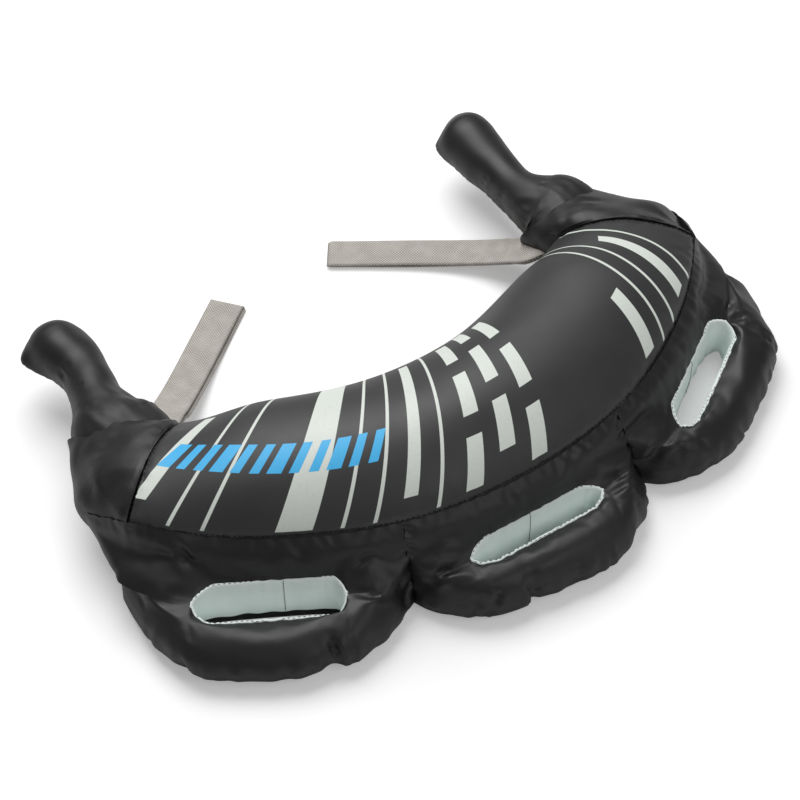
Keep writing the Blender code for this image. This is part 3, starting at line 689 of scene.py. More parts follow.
def printed_material():
    """The matt panel leatherette with its print."""
    made = leather_material("printed_leatherette", PANEL_BLACKS, PANEL_GLOSS, 0.08)
    tree = made.node_tree
    paint = tree.nodes["Principled BSDF"].inputs["Base Color"]
    chart = node(tree, "ShaderNodeUVMap", uv_map="print").outputs["UV"]
    split = node(tree, "ShaderNodeSeparateXYZ", (chart,)).outputs
    pale, blue = [drawn_bars(tree, split["X"], split["Y"], bars) for bars in (PALE_BARS, BLUE_BARS)]
    position = node(tree, "ShaderNodeTexCoord").outputs["Object"]
    rub = node(tree, "ShaderNodeTexNoise", Vector=position, Scale=420.0, Detail=5.0, Roughness=0.7)
    worn = in_range(tree, rub.outputs["Fac"], 1.0, 0.82, 0.55, 0.75)
    pale = math_node(tree, "MULTIPLY", pale, math_node(tree, "SUBTRACT", 1.0, blue))
    colour = mix_colours(tree, math_node(tree, "MULTIPLY", pale, worn), paint.links[0].from_socket, PALE_INK)
    colour = mix_colours(tree, math_node(tree, "MULTIPLY", blue, worn), colour, BLUE_INK)
    put(tree, paint, colour)
    arrange(tree)
    return made

panel_leather = printed_material()
belly, belly_points, belly_top_rows = belly_piece(panel_leather)
outer_seam = belly_points[:, 0]
gather(belly, outer_seam, 11, every=12, width=3.0, reach=13, depth=0.4, lean=0.35)
for end, seed in ((0, 12), (-1, 13)):
    gather(belly, belly_points[end, :belly_top_rows], seed, every=10, width=2.6, reach=9, depth=0.4)
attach(belly, "bag")
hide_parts("top_panel", "base_panel", "sand_bag_left", "sand_bag_centre", "sand_bag_right")
print("belly has", len(belly.data.vertices), "points")

# %% [markdown]
# The leatherette is slack over the stuffing, so it swells and folds between its seams. Cloth
# simulation gives this: pressure from inside, no gravity, the seams and rims pinned, and a little more
# cloth than the shape needs. Each point is kept within reach of where it started.

# %% Swelling a sewn shell
SWELL_FRAMES = 20
CLOTH = {
    "quality": 5, "mass": 0.05, "tension_stiffness": 15.0, "compression_stiffness": 15.0,
    "shear_stiffness": 7.5, "bending_stiffness": 0.8, "tension_damping": 8, "compression_damping": 8,
    "shear_damping": 8, "air_damping": 3, "use_pressure": True, "uniform_pressure_force": 3.5,
    "shrink_max": 0.0,
}
CALMING_ROUNDS = 4

def calmed(piece, moved, pins):
    """Average the movement of each free point with its neighbours', a few times."""
    edges = np.empty(len(piece.data.edges) * 2, int)
    piece.data.edges.foreach_get("vertices", edges)
    edges = edges.reshape(-1, 2)
    both = np.concatenate([edges, edges[:, ::-1]])
    count = np.bincount(both[:, 0], minlength=len(moved))[:, None]
    for _ in range(CALMING_ROUNDS):
        sums = [np.bincount(both[:, 0], moved[both[:, 1], axis], len(moved)) for axis in range(3)]
        moved = np.where(pins[:, None], moved, (moved + np.stack(sums, 1) / count) / 2)
    return moved

def swell(piece, pins, spare, reach):
    """Blow a shell up with Blender's cloth, with its pinned points held."""
    started = coordinates(piece)
    cloth = piece.modifiers.new("cloth", "CLOTH")
    for name, value in CLOTH.items():
        setattr(cloth.settings, name, value)
    cloth.settings.shrink_min = -spare
    cloth.settings.effector_weights.gravity = 0
    cloth.collision_settings.use_collision = False
    cloth.point_cache.frame_start = 1
    cloth.point_cache.frame_end = SWELL_FRAMES
    group = piece.vertex_groups.new(name="pins")
    group.add(np.flatnonzero(pins).tolist(), 1.0, "REPLACE")
    cloth.settings.vertex_group_mass = group.name
    for step in range(1, SWELL_FRAMES + 1):
        bpy.context.scene.frame_set(step)
    evaluated = piece.evaluated_get(bpy.context.evaluated_depsgraph_get())
    moved = point_values(evaluated.data, "co") - started
    piece.modifiers.remove(cloth)
    piece.vertex_groups.clear()
    bpy.context.scene.frame_set(1)
    moved = calmed(piece, moved, pins)
    far = np.linalg.norm(moved, axis=1, keepdims=True)
    moved *= np.minimum(1, reach / np.maximum(far, 1e-9))
    set_coordinates(piece, started + moved)
    print(piece.name, "swelled by", round(float(far.max()) / MM, 1), "mm at most,",
          round(float(far.mean()) / MM, 2), "on average")

# %% [markdown]
# ## End caps and horns
# Each end of the crescent is gathered into a plain pouch, which narrows to a stuffed horn. The pouch
# and the horn are rings joined along a line.

# %% Horn stations
# Each station of a horn: middle line x and y, half width, half height, in millimetres
HORNS = {
    "left": ((-214, 138, 33, 24), (-215, 152, 35.5, 26), (-219, 166, 37.5, 27.5), (-220, 178, 34.5, 27),
             (-218.2, 192, 26.6, 23.8), (-216, 207, 21.8, 21), (-212, 227, 20.2, 20), (-210, 249, 21.5, 20.5),
             (-211, 265, 23.8, 22), (-213, 277, 24.5, 22), (-214.5, 287, 22, 20), (-215.5, 294.5, 16.5, 15),
             (-216, 299.3, 9, 8.5), (-216, 301.3, 2.5, 2.5)),
    "right": ((208, 138, 33, 24), (207, 152, 35, 26), (208.5, 166, 38, 27.5), (207, 178, 36.3, 26.5),
              (202, 191, 28, 23.8), (198.5, 204, 22.2, 21.5), (196, 234, 19.6, 19.6), (196, 260, 22, 21),
              (197.5, 278, 24.3, 22), (198.8, 292, 25.5, 22.5), (199.3, 303, 22.8, 20.5),
              (199, 311, 17.3, 15.5),
              (198, 316.5, 9.5, 9), (197.6, 318.6, 2.5, 2.5)),
}
# Where the seam draws the tip out to a corner, and by what share of the ring
HORN_CORNERS = {"left": (0.289, 0.42), "right": (0.311, 0.32)}

# %% Cap rings
SIDES = {"left": -1, "right": 1}
RING = 96
# The crease round each horn's root: points from the outer side over the top and round, in millimetres
CAP_LIPS = {
    "left": ((-257, 184, 50), (-245, 168, 66), (-222, 156, 77), (-199, 150, 68), (-179, 152, 47),
             (-186, 164, 31), (-212, 176, 22), (-244, 185, 31)),
    "right": ((245, 181, 50), (236, 168, 66), (212, 158, 78), (188, 158, 72), (166, 168, 50),
              (174, 172, 31), (206, 178, 22), (233, 183, 31)),
}
CAP_OUTER_BULGE = {"left": 0.014, "right": 0.024}
CAP_ROUND = {"left": 0.004, "right": 0.002}
CAP_COUNTS = (40, 40, 20, 20, 20, 12)
CAP_RINGS = 50
# The outer bulge is full this far below the cap's top
CAP_TOP, CAP_FALL = 0.090, 0.035
CAP_CLEARANCE = 0.0006
# The lip turns in: each ring's share of the crease, and how far back it lies
LIP_TURN = ((0.985, 0.000), (0.955, -0.002), (0.90, -0.006), (0.80, -0.014), (0.6, -0.022))

def oval_ring(centre, across, half_width, half_height):
    """A full oval ring round a level line."""
    angle = 2 * math.pi * np.arange(RING) / RING
    wide, tall = np.cos(angle) * half_width, np.sin(angle) * half_height
    return centre + np.outer(wide, across) + np.outer(tall, [0, 0, 1])

def even_ring(ring, count=RING):
    """A closed ring read again at equal steps."""
    lengths = lengths_along(closed(ring))
    return line_at(closed(ring), lengths, np.linspace(0, lengths[-1], count, endpoint=False))

def turned_to(ring, target):
    """Renumber a closed ring so that it starts where another one does."""
    orders = [np.roll(order, turn, 0) for order in (ring, ring[::-1]) for turn in range(len(ring))]
    return min(orders, key=lambda order: np.linalg.norm(order - target, axis=1).sum())

def smooth_loop(corners, count):
    """A closed smooth line through some corners, as evenly spaced points."""
    looped = np.concatenate([corners[-2:], corners, corners[:3]])
    keys = lengths_along(looped)
    line = curve_through(keys, looped, np.linspace(keys[2], keys[-3], 8 * count, endpoint=False))
    return even_ring(line, count)

def cap_rings(side_name):
    """Rings from the end seam of the belly to the crease at the horn's root, and a lip turned in."""
    side = SIDES[side_name]
    bearing = side * END_BEARING
    radii, heights = section_outline(bearing, CAP_COUNTS)
    seam = even_ring(place(radii, bearing, heights))
    crease = turned_to(smooth_loop(np.array(CAP_LIPS[side_name]) * MM, RING), seam)
    axis = unit(crease.mean(0) - seam.mean(0))
    rings = []
    for share in np.linspace(0, 1, CAP_RINGS):
        ring = seam + (crease - seam) * (share + 0.12 * math.sin(2 * math.pi * share) / 2)
        outwards = ring - ring.mean(0)
        outwards = unit(outwards - np.outer(outwards @ axis, axis))
        low = np.clip((CAP_TOP - ring[:, 2]) / CAP_FALL, 0, 1)
        sideways = np.maximum(0, outwards[:, 0] * side) ** 2 * low
        bulge = CAP_ROUND[side_name] + CAP_OUTER_BULGE[side_name] * sideways
        ring = ring + outwards * (bulge * math.sin(math.pi * share ** 0.9) ** 1.15)[:, None]
        ring[:, 2] = np.maximum(ring[:, 2], CAP_CLEARANCE)
        rings.append(ring)
    middle = crease.mean(0)
    for narrower, back in LIP_TURN:
        rings.append(middle + (crease - middle) * narrower + axis * back)
    return np.array(rings)

# %% Horn rings
HORN_RINGS = 84
HORN_LEVEL = 0.050
HORN_SEAM_ANGLE = math.radians(206)
HORN_SEAM_TWIST = math.radians(20)
# The seam stands proud as a low ridge, and draws the tip out to a corner over this length
RIDGE, RIDGE_WIDTH = 0.03, 0.13
CORNER_LENGTH, CORNER_WIDTH = 0.034, 0.30

def horn_rings(side_name):
    """Rings along the horn, with its seam as a ridge that grows to a corner at the tip."""
    table = np.array(HORNS[side_name], float) * MM
    keys = lengths_along(table[:, :2])
    read = curve_through(keys, table, np.linspace(0, keys[-1], HORN_RINGS))
    ahead = unit(np.gradient(read[:, :2], axis=0))
    corner_y, corner = HORN_CORNERS[side_name]
    rings = []
    for (x, y, half_width, half_height), (ahead_x, ahead_y) in zip(read, ahead):
        centre = np.array([x, y, HORN_LEVEL])
        ring = oval_ring(centre, np.array([ahead_y, -ahead_x, 0.0]), half_width, half_height)
        share = np.clip((y - corner_y + CORNER_LENGTH) / CORNER_LENGTH, 0, 1)
        turn = 2 * math.pi * np.arange(RING) / RING - HORN_SEAM_ANGLE + share * HORN_SEAM_TWIST
        ridge = RIDGE * np.exp(-np.abs(turn / RIDGE_WIDTH) ** 1.3)
        ridge += share ** 2 * corner * np.exp(-np.abs(turn / CORNER_WIDTH) ** 1.5)
        rings.append(ring + (ring - centre) * ridge[:, None])
    return np.array(rings)

# %% [markdown]
# The horn's cover is one piece, closed by a seam along its lower left side that gathers the cloth
# beside it. More gathers run out of the crease between horn and cap, and a few deep folds lie at the neck.

# %% Caps and horns in place
HORN_FOLDS = {
    "left": ((((50, 367), (60, 372), (70, 386)), 2.6, 1.4), (((77, 402), (84, 406), (96, 410)), 3.2, 2.0),
             (((77, 388), (84, 380)), 2.2, 0.9), (((68, 360), (66, 372)), 2.4, 0.8)),
    "right": ((((505, 214), (520, 205), (536, 203)), 3.2, 1.6), (((496, 202), (507, 190)), 2.4, 1.0),
              (((480, 186), (490, 174)), 2.4, 0.9), (((517, 230), (528, 222)), 3.0, 1.8),
              (((540, 182), (548, 184)), 2.6, 1.4)),
}
CAP_FOLDS = {
    "left": ((((80, 455), (100, 446), (128, 440)), 6.0, 1.8), (((84, 470), (88, 488), (100, 505)), 6.0, 1.6),
             (((112, 470), (110, 490), (112, 508)), 7.0, 1.4),
              (((126, 425), (142, 421), (160, 424)), 4.0, 1.4)),
    "right": ((((560, 206), (585, 200), (610, 202)), 4.0, 1.2),
              (((640, 206), (660, 215), (680, 228)), 5.0, 1.0)),
}

# A surface that turns by more than this at one edge is a seam, and is shaded as one
SEAM_TURN = math.radians(50)
CAP_SEEDS = {"left": 40, "right": 60}
CREASE_DEPTH = {"left": 0.6, "right": 0.4}
NECK_Y = 0.172
HORN_SEAM_RINGS = slice(20, 68)
SEAM_COLUMN = round(HORN_SEAM_ANGLE / (2 * math.pi) * RING)
# Depth and size of the unevenness of the caps and horns
CAP_DENTS, HORN_DENTS = (0.0010, 0.05), (0.0007, 0.035)

def dented(piece, seed, depth, size):
    """The points of a piece moved by slow noise along their normals."""
    return coordinates(piece) + normals(piece) * depth * slow_noise(seed, coordinates(piece), size)[:, None]

caps, horns = {}, {}
for side_name in SIDES:
    seed = CAP_SEEDS[side_name]
    rings = cap_rings(side_name)
    cap = caps[side_name] = new_piece(f"cap_{side_name}", rings, tube_faces(rings), skirt_leather)
    rings = horn_rings(side_name)
    horn = horns[side_name] = new_piece(f"horn_{side_name}", rings, tube_faces(rings), skirt_leather)
    cap_points, horn_points = coordinates(cap).reshape(-1, RING, 3), coordinates(horn).reshape(-1, RING, 3)
    free = (np.arange(len(cap.data.vertices)) // RING > 2)[:, None]
    set_coordinates(cap, np.where(free, dented(cap, seed, *CAP_DENTS), coordinates(cap)))
    set_coordinates(horn, dented(horn, seed + 1, *HORN_DENTS))
    gather(cap, cap_points[0], seed + 2, every=10, width=2.4, reach=12, depth=0.6)
    crease = cap_points[CAP_RINGS - 1]
    gather(cap, closed(crease), seed + 3, every=14, width=4.0, reach=28,
           depth=CREASE_DEPTH[side_name], lean=0.2)
    neck = horn_points[np.argmin(np.abs(horn_points[:, :, 1].mean(1) - NECK_Y))]
    gather(horn, closed(neck), seed + 4, every=8, width=3.2, reach=20, depth=0.4, lean=0.25)
    seam = horn_points[HORN_SEAM_RINGS, SEAM_COLUMN]
    gather(horn, seam, seed + 5, every=7, width=2.0, reach=9, depth=0.4, lean=0.2)
    press_folds(cap, CAP_FOLDS[side_name])
    press_folds(horn, HORN_FOLDS[side_name])
    for piece, replaced in (
        (cap, (f"end_cap_{side_name}", f"cap_filling_{side_name}")),
        (horn, (f"horn_cover_{side_name}", f"horn_wadding_{side_name}")),
    ):
        piece.data.set_sharp_from_angle(angle=SEAM_TURN)
        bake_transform(piece)
        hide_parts(*replaced)
    print(side_name, "cap has", len(cap.data.vertices), "points and its horn", len(horn.data.vertices))

# %% [markdown]
# ## The stuffed skirts
# Along the outer edge runs a skirt in three lengths. Each hangs from the outer seam as a wall, runs
# out round a hand slot as a stuffed grip, and comes back along the floor to the lower seam. It is
# closed here by a hidden wall at the back and a hidden sleeve through the slot.

# %% Skirt sizes
GRIPS = {"left": -GRIP_BEARING, "centre": 0.0, "right": GRIP_BEARING}
SKIRT_ENDS = {"left": math.radians(57.5), "right": math.radians(59.0)}
SKIRT_SPANS = {
    "left": (-SKIRT_ENDS["left"], -JUNCTION_BEARING),
    "centre": (-JUNCTION_BEARING, JUNCTION_BEARING),
    "right": (JUNCTION_BEARING, SKIRT_ENDS["right"]),
}
# The outer edge, as pairs of a bearing in degrees and a radius in millimetres
EDGES = {
    "left": ((-57.5, 326), (-55.9, 337), (-54.1, 346), (-50.8, 367), (-47.9, 389), (-45.2, 409), (-42, 428),
             (-38.6, 439), (-34.2, 440), (-30, 439), (-27.5, 434), (-26.2, 429), (-24.8, 431), (-21.7, 420),
             (-18.2, 400), (-17.2, 391), (-16, 384)),
    "centre": ((-16, 384), (-13.9, 400), (-11.1, 413), (-8.7, 420), (-5.5, 424), (-4, 420), (-2.5, 424),
               (1.2, 426), (4.1, 429), (7.2, 427), (10, 419), (13.1, 409), (15.2, 394), (16, 384)),
    "right": ((16, 384), (18, 404), (21.8, 421), (26.4, 430), (31, 430), (35, 430), (39, 430), (41, 429),
              (44, 416), (47, 406), (51.5, 389), (55, 376), (59, 357)),
}
SLOT_RADIUS = 0.3835
# Half length, middle along and out from the grip's own middle line, and how much one end lies further out
SLOT_PLACES = {"left": (0.0575, 0.001, 0.0027, -0.055), "centre": (0.0610, -0.0005, -0.0018, 0.0),
               "right": (0.0600, -0.0070, 0.0000, -0.035)}
SLOT_HALF_WIDTH = {"left": 0.0130, "centre": 0.0090, "right": 0.0110}
SLOT_END_SHARES = {"left": (0.30, 0.16), "centre": (0.34, 0.30), "right": (0.30, 0.18)}
SLOT_LOWER_HALF = {"left": 0.006, "centre": 0.005, "right": 0.0105}
SLOT_OUTER_TOP = {"left": 0.033, "centre": 0.038, "right": 0.034}
SLOT_INNER_TOP = 0.046
WALL_ROWS, LOBE_ROWS, UNDER_ROWS, BACK_ROWS, SLEEVE_ROWS = 22, 66, 10, 8, 6
SKIRT_COLUMNS = 64
# Columns crowd towards the slot's ends by this share, and beyond them lie this far apart at this radius
COLUMN_CROWDING = 0.10
COLUMN_GAP, COLUMN_RADIUS = 0.0019, 0.385
# Where the slots end the lobe is this high
LOBE_SUNK = 0.041
# Where each outer skirt's top meets the cap, as a radius and a height
END_SEAMS = {"left": (0.333, 0.052), "right": (0.334, 0.055)}
BACK_DEPTH = 0.002

# %% Skirt profiles
def skirt_bearings(name):
    """Bearings of the columns: even along the slot, and closer together towards the junctions."""
    middle = GRIPS[name]
    first, last = SKIRT_SPANS[name]
    even = np.linspace(-1, 1, SKIRT_COLUMNS)
    half_length, shift = SLOT_PLACES[name][:2]
    slot = middle + np.arctan(
        (shift + half_length * (even + COLUMN_CROWDING * np.sin(math.pi * even))) / SLOT_RADIUS)
    before_count, after_count = (
        int(round(turn * COLUMN_RADIUS / COLUMN_GAP)) for turn in (slot[0] - first, last - slot[-1]))
    before = first + (slot[0] - first) * np.linspace(0, 1, before_count, endpoint=False)
    after = last + (slot[-1] - last) * np.linspace(0, 1, after_count, endpoint=False)[::-1]
    return np.concatenate([before, slot, after]), before_count, before_count + SKIRT_COLUMNS - 1

def beyond_slot(name, bearing):
    """0 along the slot, rising to 1 at the skirt's own end."""
    half_length, shift = SLOT_PLACES[name][:2]
    first, last = GRIPS[name] + np.arctan((shift + half_length * np.array([-1, 1])) / SLOT_RADIUS)
    before, after = SKIRT_SPANS[name]
    return float(np.clip(max((first - bearing) / (first - before), (bearing - last) / (after - last)), 0, 1))

def skirt_profile(name, bearing):
    """Control points (radius, height) of the wall, the lobe and the underside at one bearing."""
    turn = bearing - GRIPS[name]
    half_length, shift, further, tilt = SLOT_PLACES[name]
    offset = (SLOT_RADIUS * math.tan(turn) - shift) / half_length
    line_radius = (SLOT_RADIUS + further + tilt * (offset * half_length)) / math.cos(turn)
    edge_table = np.array(EDGES[name], float)
    edge = float(smooth_read(np.radians(edge_table[:, 0]), edge_table[:, 1] * MM, bearing))
    seam_radius = section_sizes(min(abs(bearing), END_BEARING))[0]
    from_end = np.clip((1 - abs(offset)) / SLOT_END_SHARES[name][int(offset > 0)], 0, 1)
    in_slot = math.sin(from_end * math.pi / 2) ** 0.75
    beside = 0.5 + 0.5 * math.cos(math.pi * min(1, abs(offset) / 1.5))
    lobe_start = line_radius + SLOT_HALF_WIDTH[name] * beside
    half = SLOT_HALF_WIDTH[name] * in_slot
    lower_half = SLOT_LOWER_HALF[name] * max(0.0, 1 - abs(offset) ** 4) ** 0.5
    inner_top = LOBE_SUNK + (SLOT_INNER_TOP - LOBE_SUNK) * in_slot
    outer_top = LOBE_SUNK + (SLOT_OUTER_TOP[name] - LOBE_SUNK) * in_slot
    crest = LOBE_SUNK - 0.004 + (SLOT_OUTER_TOP[name] - LOBE_SUNK + 0.004) * beside
    rim_in, rim_out = line_radius - half, line_radius + half
    lobe = np.array([
        (seam_radius, SEAM_HEIGHT), (seam_radius + 0.0072, 0.0682), (seam_radius + 0.0118, 0.057),
        (rim_in, inner_top), (rim_out, outer_top),
        (lobe_start + (edge - lobe_start) * 0.30, crest + 0.005),
        (lobe_start + (edge - lobe_start) * 0.66, crest - 0.001),
        (edge - 0.0035, 0.024), (edge, 0.015), (edge - 0.004, 0.0065),
        (lobe_start + (edge - lobe_start) * 0.5, 0.0008),
        (line_radius - 0.005 + lower_half, 0.006), (line_radius - 0.005 - lower_half, 0.006),
        (0.346, 0.004),
    ])
    if abs(bearing) > GRIP_BEARING:
        end_seam, end_height = END_SEAMS[name]
        fold = np.array([
            (end_seam, end_height), (end_seam + 0.004, end_height - 0.006), (end_seam + 0.007, 0.042),
            (end_seam + 0.009, 0.034), (end_seam + 0.009, 0.034), (end_seam + 0.010, 0.029),
            (end_seam + 0.011, 0.024), (edge, 0.018), (edge, 0.012), (edge - 0.003, 0.006),
            (end_seam, 0.001), (end_seam - 0.006, 0.002), (end_seam - 0.006, 0.002), (0.320, 0.004),
        ])
        seam_share = np.clip((abs(bearing) - END_BEARING) / (SKIRT_ENDS[name] - END_BEARING), 0, 1)
        profile = lobe + (fold - lobe) * beyond_slot(name, bearing) ** 1.25
        top = np.array([seam_radius, SEAM_HEIGHT]) * (1 - seam_share) + fold[0] * seam_share
        moved = top - profile[0]
        for index, part in enumerate((1, 0.8, 0.5)):
            profile[index] += moved * part
        return profile
    fold = np.array([
        (seam_radius, SEAM_HEIGHT), (seam_radius + 0.0068, 0.066), (seam_radius + 0.011, 0.054),
        (seam_radius + 0.014, 0.044), (seam_radius + 0.014, 0.044), (seam_radius + 0.017, 0.036),
        (seam_radius + 0.020, 0.028), (edge - 0.002, 0.021), (edge, 0.014), (edge - 0.004, 0.006),
        (seam_radius + 0.012, 0.001), (0.366, 0.002), (0.366, 0.002), (0.346, 0.004),
    ])
    return lobe + (fold - lobe) * beyond_slot(name, bearing) ** 2.2

def skirt_points(name):
    """Grids of the skirt's wall, lobe, underside and back, column by column."""
    bearings, first, last = skirt_bearings(name)
    wall, lobe, under, back = [], [], [], []
    for bearing in bearings:
        profile = skirt_profile(name, bearing)
        for block, controls, count in (
            (wall, profile[:4], WALL_ROWS), (lobe, profile[4:12], LOBE_ROWS),
            (under, profile[12:], UNDER_ROWS),
        ):
            keys = np.arange(len(controls))
            if len(controls) > 2:
                gaps = np.linalg.norm(np.diff(controls, axis=0), axis=1)
                keys = np.concatenate([[0], np.cumsum(np.maximum(gaps, 1e-5))])
            block.append(smooth_read(keys, controls, np.linspace(0, keys[-1], count)))
        down, up = under[-1][-1], wall[-1][0]
        share = np.linspace(0, 1, BACK_ROWS + 2)[1:-1, None]
        back.append(down + (up - down) * share - [BACK_DEPTH, 0])
    grids = []
    for grid in (wall, lobe, under, back):
        grid = np.array(grid)
        grids.append(place(grid[..., 0], bearings[:, None], grid[..., 1]))
    return grids, first, last

def skirt_mesh(name):
    """The points, faces, and point numbers of the rims of one closed skirt."""
    grids, first, last = skirt_points(name)
    blocks, start = [], 0
    for grid in grids:
        blocks.append(start + numbered(grid))
        start += blocks[-1].size
    wall_ids, lobe_ids, under_ids, back_ids = blocks
    outside = np.ones(len(wall_ids), bool)
    outside[first + 1:last] = False
    lobe_ids[outside, 0] = wall_ids[outside, -1]
    under_ids[outside, 0] = lobe_ids[outside, -1]
    points = np.concatenate([grid.reshape(-1, 3) for grid in grids])
    slot = slice(first, last + 1)
    faces = [grid_faces(ids) for ids in blocks]
    faces.append(grid_faces(np.stack([under_ids[:, -1], back_ids[:, 0]], 1)))
    faces.append(grid_faces(np.stack([back_ids[:, -1], wall_ids[:, 0]], 1)))
    # The hidden sleeve through the slot
    top_rim = np.concatenate([wall_ids[slot, -1], lobe_ids[slot, 0][::-1][1:-1]])
    low_rim = np.concatenate([under_ids[slot, 0], lobe_ids[slot, -1][::-1][1:-1]])
    share = np.linspace(0, 1, SLEEVE_ROWS + 2)[1:-1, None, None]
    sleeve = points[top_rim] + (points[low_rim] - points[top_rim]) * share
    sleeve_ids = len(points) + np.arange(SLEEVE_ROWS * len(top_rim)).reshape(SLEEVE_ROWS, -1)
    points = np.concatenate([points, sleeve.reshape(-1, 3)])
    faces.append(grid_faces(np.concatenate([[top_rim], sleeve_ids, [low_rim]]), close_columns=True))
    faces = [list(face) for group in faces for face in group]
    for column in (0, -1):
        faces.append(list(dict.fromkeys(np.concatenate([ids[column] for ids in blocks]).tolist())))
    return points, faces, {"blocks": blocks, "top_rim": top_rim, "low_rim": low_rim, "sleeve": sleeve_ids}

skirts = {}
for grip_name in GRIPS:
    points, faces, parts = skirt_mesh(grip_name)
    used = np.unique(np.concatenate([np.array(face) for face in faces]))
    remap = np.full(len(points), -1)
    remap[used] = np.arange(len(used))
    faces = [[remap[corner] for corner in face] for face in faces]
    skirt = skirts[grip_name] = {name: remap[parts[name]] for name in ("top_rim", "low_rim", "sleeve")}
    skirt["blocks"] = [remap[block] for block in parts["blocks"]]
    skirt["piece"] = new_piece(f"skirt_{grip_name}", points[used], faces, skirt_leather)
    print("skirt", grip_name, "has", len(used), "points")

# %% [markdown]
# The outer skirts run on past the belly and over the caps, where they are sewn down flat. So their
# thickness shrinks towards the end, read from the cap's surface outwards along the level radius.

# %% Laying the skirt's end over the cap
OVERLAP_START = math.radians(50.0)
OVERLAP_RAMP = math.radians(0.8)
OVERLAP_ROOM = {"left": 1.0, "right": 1.6}
# Degrees before the skirt's end, and how far from the cap its points lie there at least and at most
LOWEST = ((0.0, 0.8, 2.5), (-0.0012, 0.0010, 0.0014))
HIGHEST = ((0.0, 0.8, 2.5, 5.0, 8.0, 12.0), (0.0004, 0.0018, 0.006, 0.016, 0.034, 0.2))
BACK_END = 2
RAY_START, RAY_LOWEST = 0.45, 0.005
DEEPEST = -0.03
FLOOR_CLEARANCE = 0.0004

def lay_over(piece, under, blocks, end_bearing, room):
    """Close the end of a skirt down on to the cap below it, and tuck its last column in."""
    tree = shell_tree(under)
    points = coordinates(piece)
    from_middle = points - [0, ARC_RADIUS, 0]
    radii = np.linalg.norm(from_middle[:, :2], axis=1)
    outwards = from_middle * [1, 1, 0] / radii[:, None]
    bearings = np.abs(np.arctan2(points[:, 0], ARC_RADIUS - points[:, 1]))
    share = np.clip((bearings - OVERLAP_START) / OVERLAP_RAMP, 0, 1)
    to_end = np.degrees(end_bearing - bearings)
    lowest = np.interp(to_end, *LOWEST)
    highest = np.interp(to_end, *HIGHEST) * room
    back = np.isin(np.arange(len(points)), blocks[3])
    moved = 0
    for index in np.flatnonzero((bearings > OVERLAP_START) & (~back | (to_end < BACK_END))):
        origin = [0, ARC_RADIUS, max(points[index, 2], RAY_LOWEST)] + outwards[index] * RAY_START
        met = tree.ray_cast(tuple(origin), tuple(-outwards[index]))[0]
        if met is None:
            met = tree.find_nearest(tuple(points[index]))[0]
        height = radii[index] - math.hypot(met[0], met[1] - ARC_RADIUS)
        wanted = max(highest[index] * math.tanh(height / highest[index]), lowest[index])
        if height > DEEPEST:
            points[index] += outwards[index] * (wanted - height) * share[index]
            moved += 1
    points[:, 2] = np.maximum(points[:, 2], FLOOR_CLEARANCE)
    set_coordinates(piece, points)
    print(piece.name, "laid over its cap at", moved, "points")

# %% [markdown]
# A few folds are too strong to leave to chance: those that run into the ends of the slots, the pinch
# in the left grip's edge, and the small gathers below the outer seam.

# %% The skirts swell
SKIRT_SPARE = {"left": 0.008, "centre": 0.012, "right": 0.010}
SKIRT_REACH = 0.012
# The outer edge is gathered up to here, and the wall and lobe at the columns where two grips meet
EDGE_GATHER_END = math.radians(46)
JUNCTION_COLUMNS = {"left": (-1,), "centre": (0, -1), "right": (0,)}
JUNCTION_ROWS = slice(1, 44)
SKIRT_SEEDS = {"left": 21, "centre": 24, "right": 27}
SKIRT_FOLDS = {
    "left": (
        (((160, 532), (182, 552), (200, 577)), 4.0, 3.6),
        (((346, 577), (358, 565), (374, 549)), 3.4, 2.8),
        (((349, 592), (372, 596), (397, 592)), 3.4, 2.8),
        (((330, 636), (334, 648), (341, 662)), 3.0, 4.4),
        (((192, 600), (176, 594), (160, 596)), 4.0, 1.2),
    ),
    "centre": (
        (((468, 562), (447, 570), (423, 586)), 4.0, 4.2),
        (((470, 553), (452, 554), (436, 560)), 3.2, 2.4),
        (((602, 489), (620, 474), (636, 461)), 4.0, 4.2),
        (((603, 497), (622, 486), (641, 474)), 3.0, 3.2),
        (((497, 604), (500, 590)), 2.8, 2.4),
        (((541, 598), (537, 583)), 2.8, 2.6),
        (((583, 576), (577, 562)), 2.8, 2.4),
        (((540, 500), (536, 511)), 2.0, 0.8),
    ),
    "right": (
        (((724, 322), (738, 318), (754, 314)), 3.4, 3.4),
        (((722, 318), (728, 306), (738, 296)), 3.0, 2.2),
        (((676, 426), (660, 447), (643, 472)), 4.0, 4.0),
        (((683, 430), (680, 450), (684, 470)), 3.4, 2.2),
        (((664, 400), (655, 410), (640, 420)), 3.0, 1.6),
    ),
}

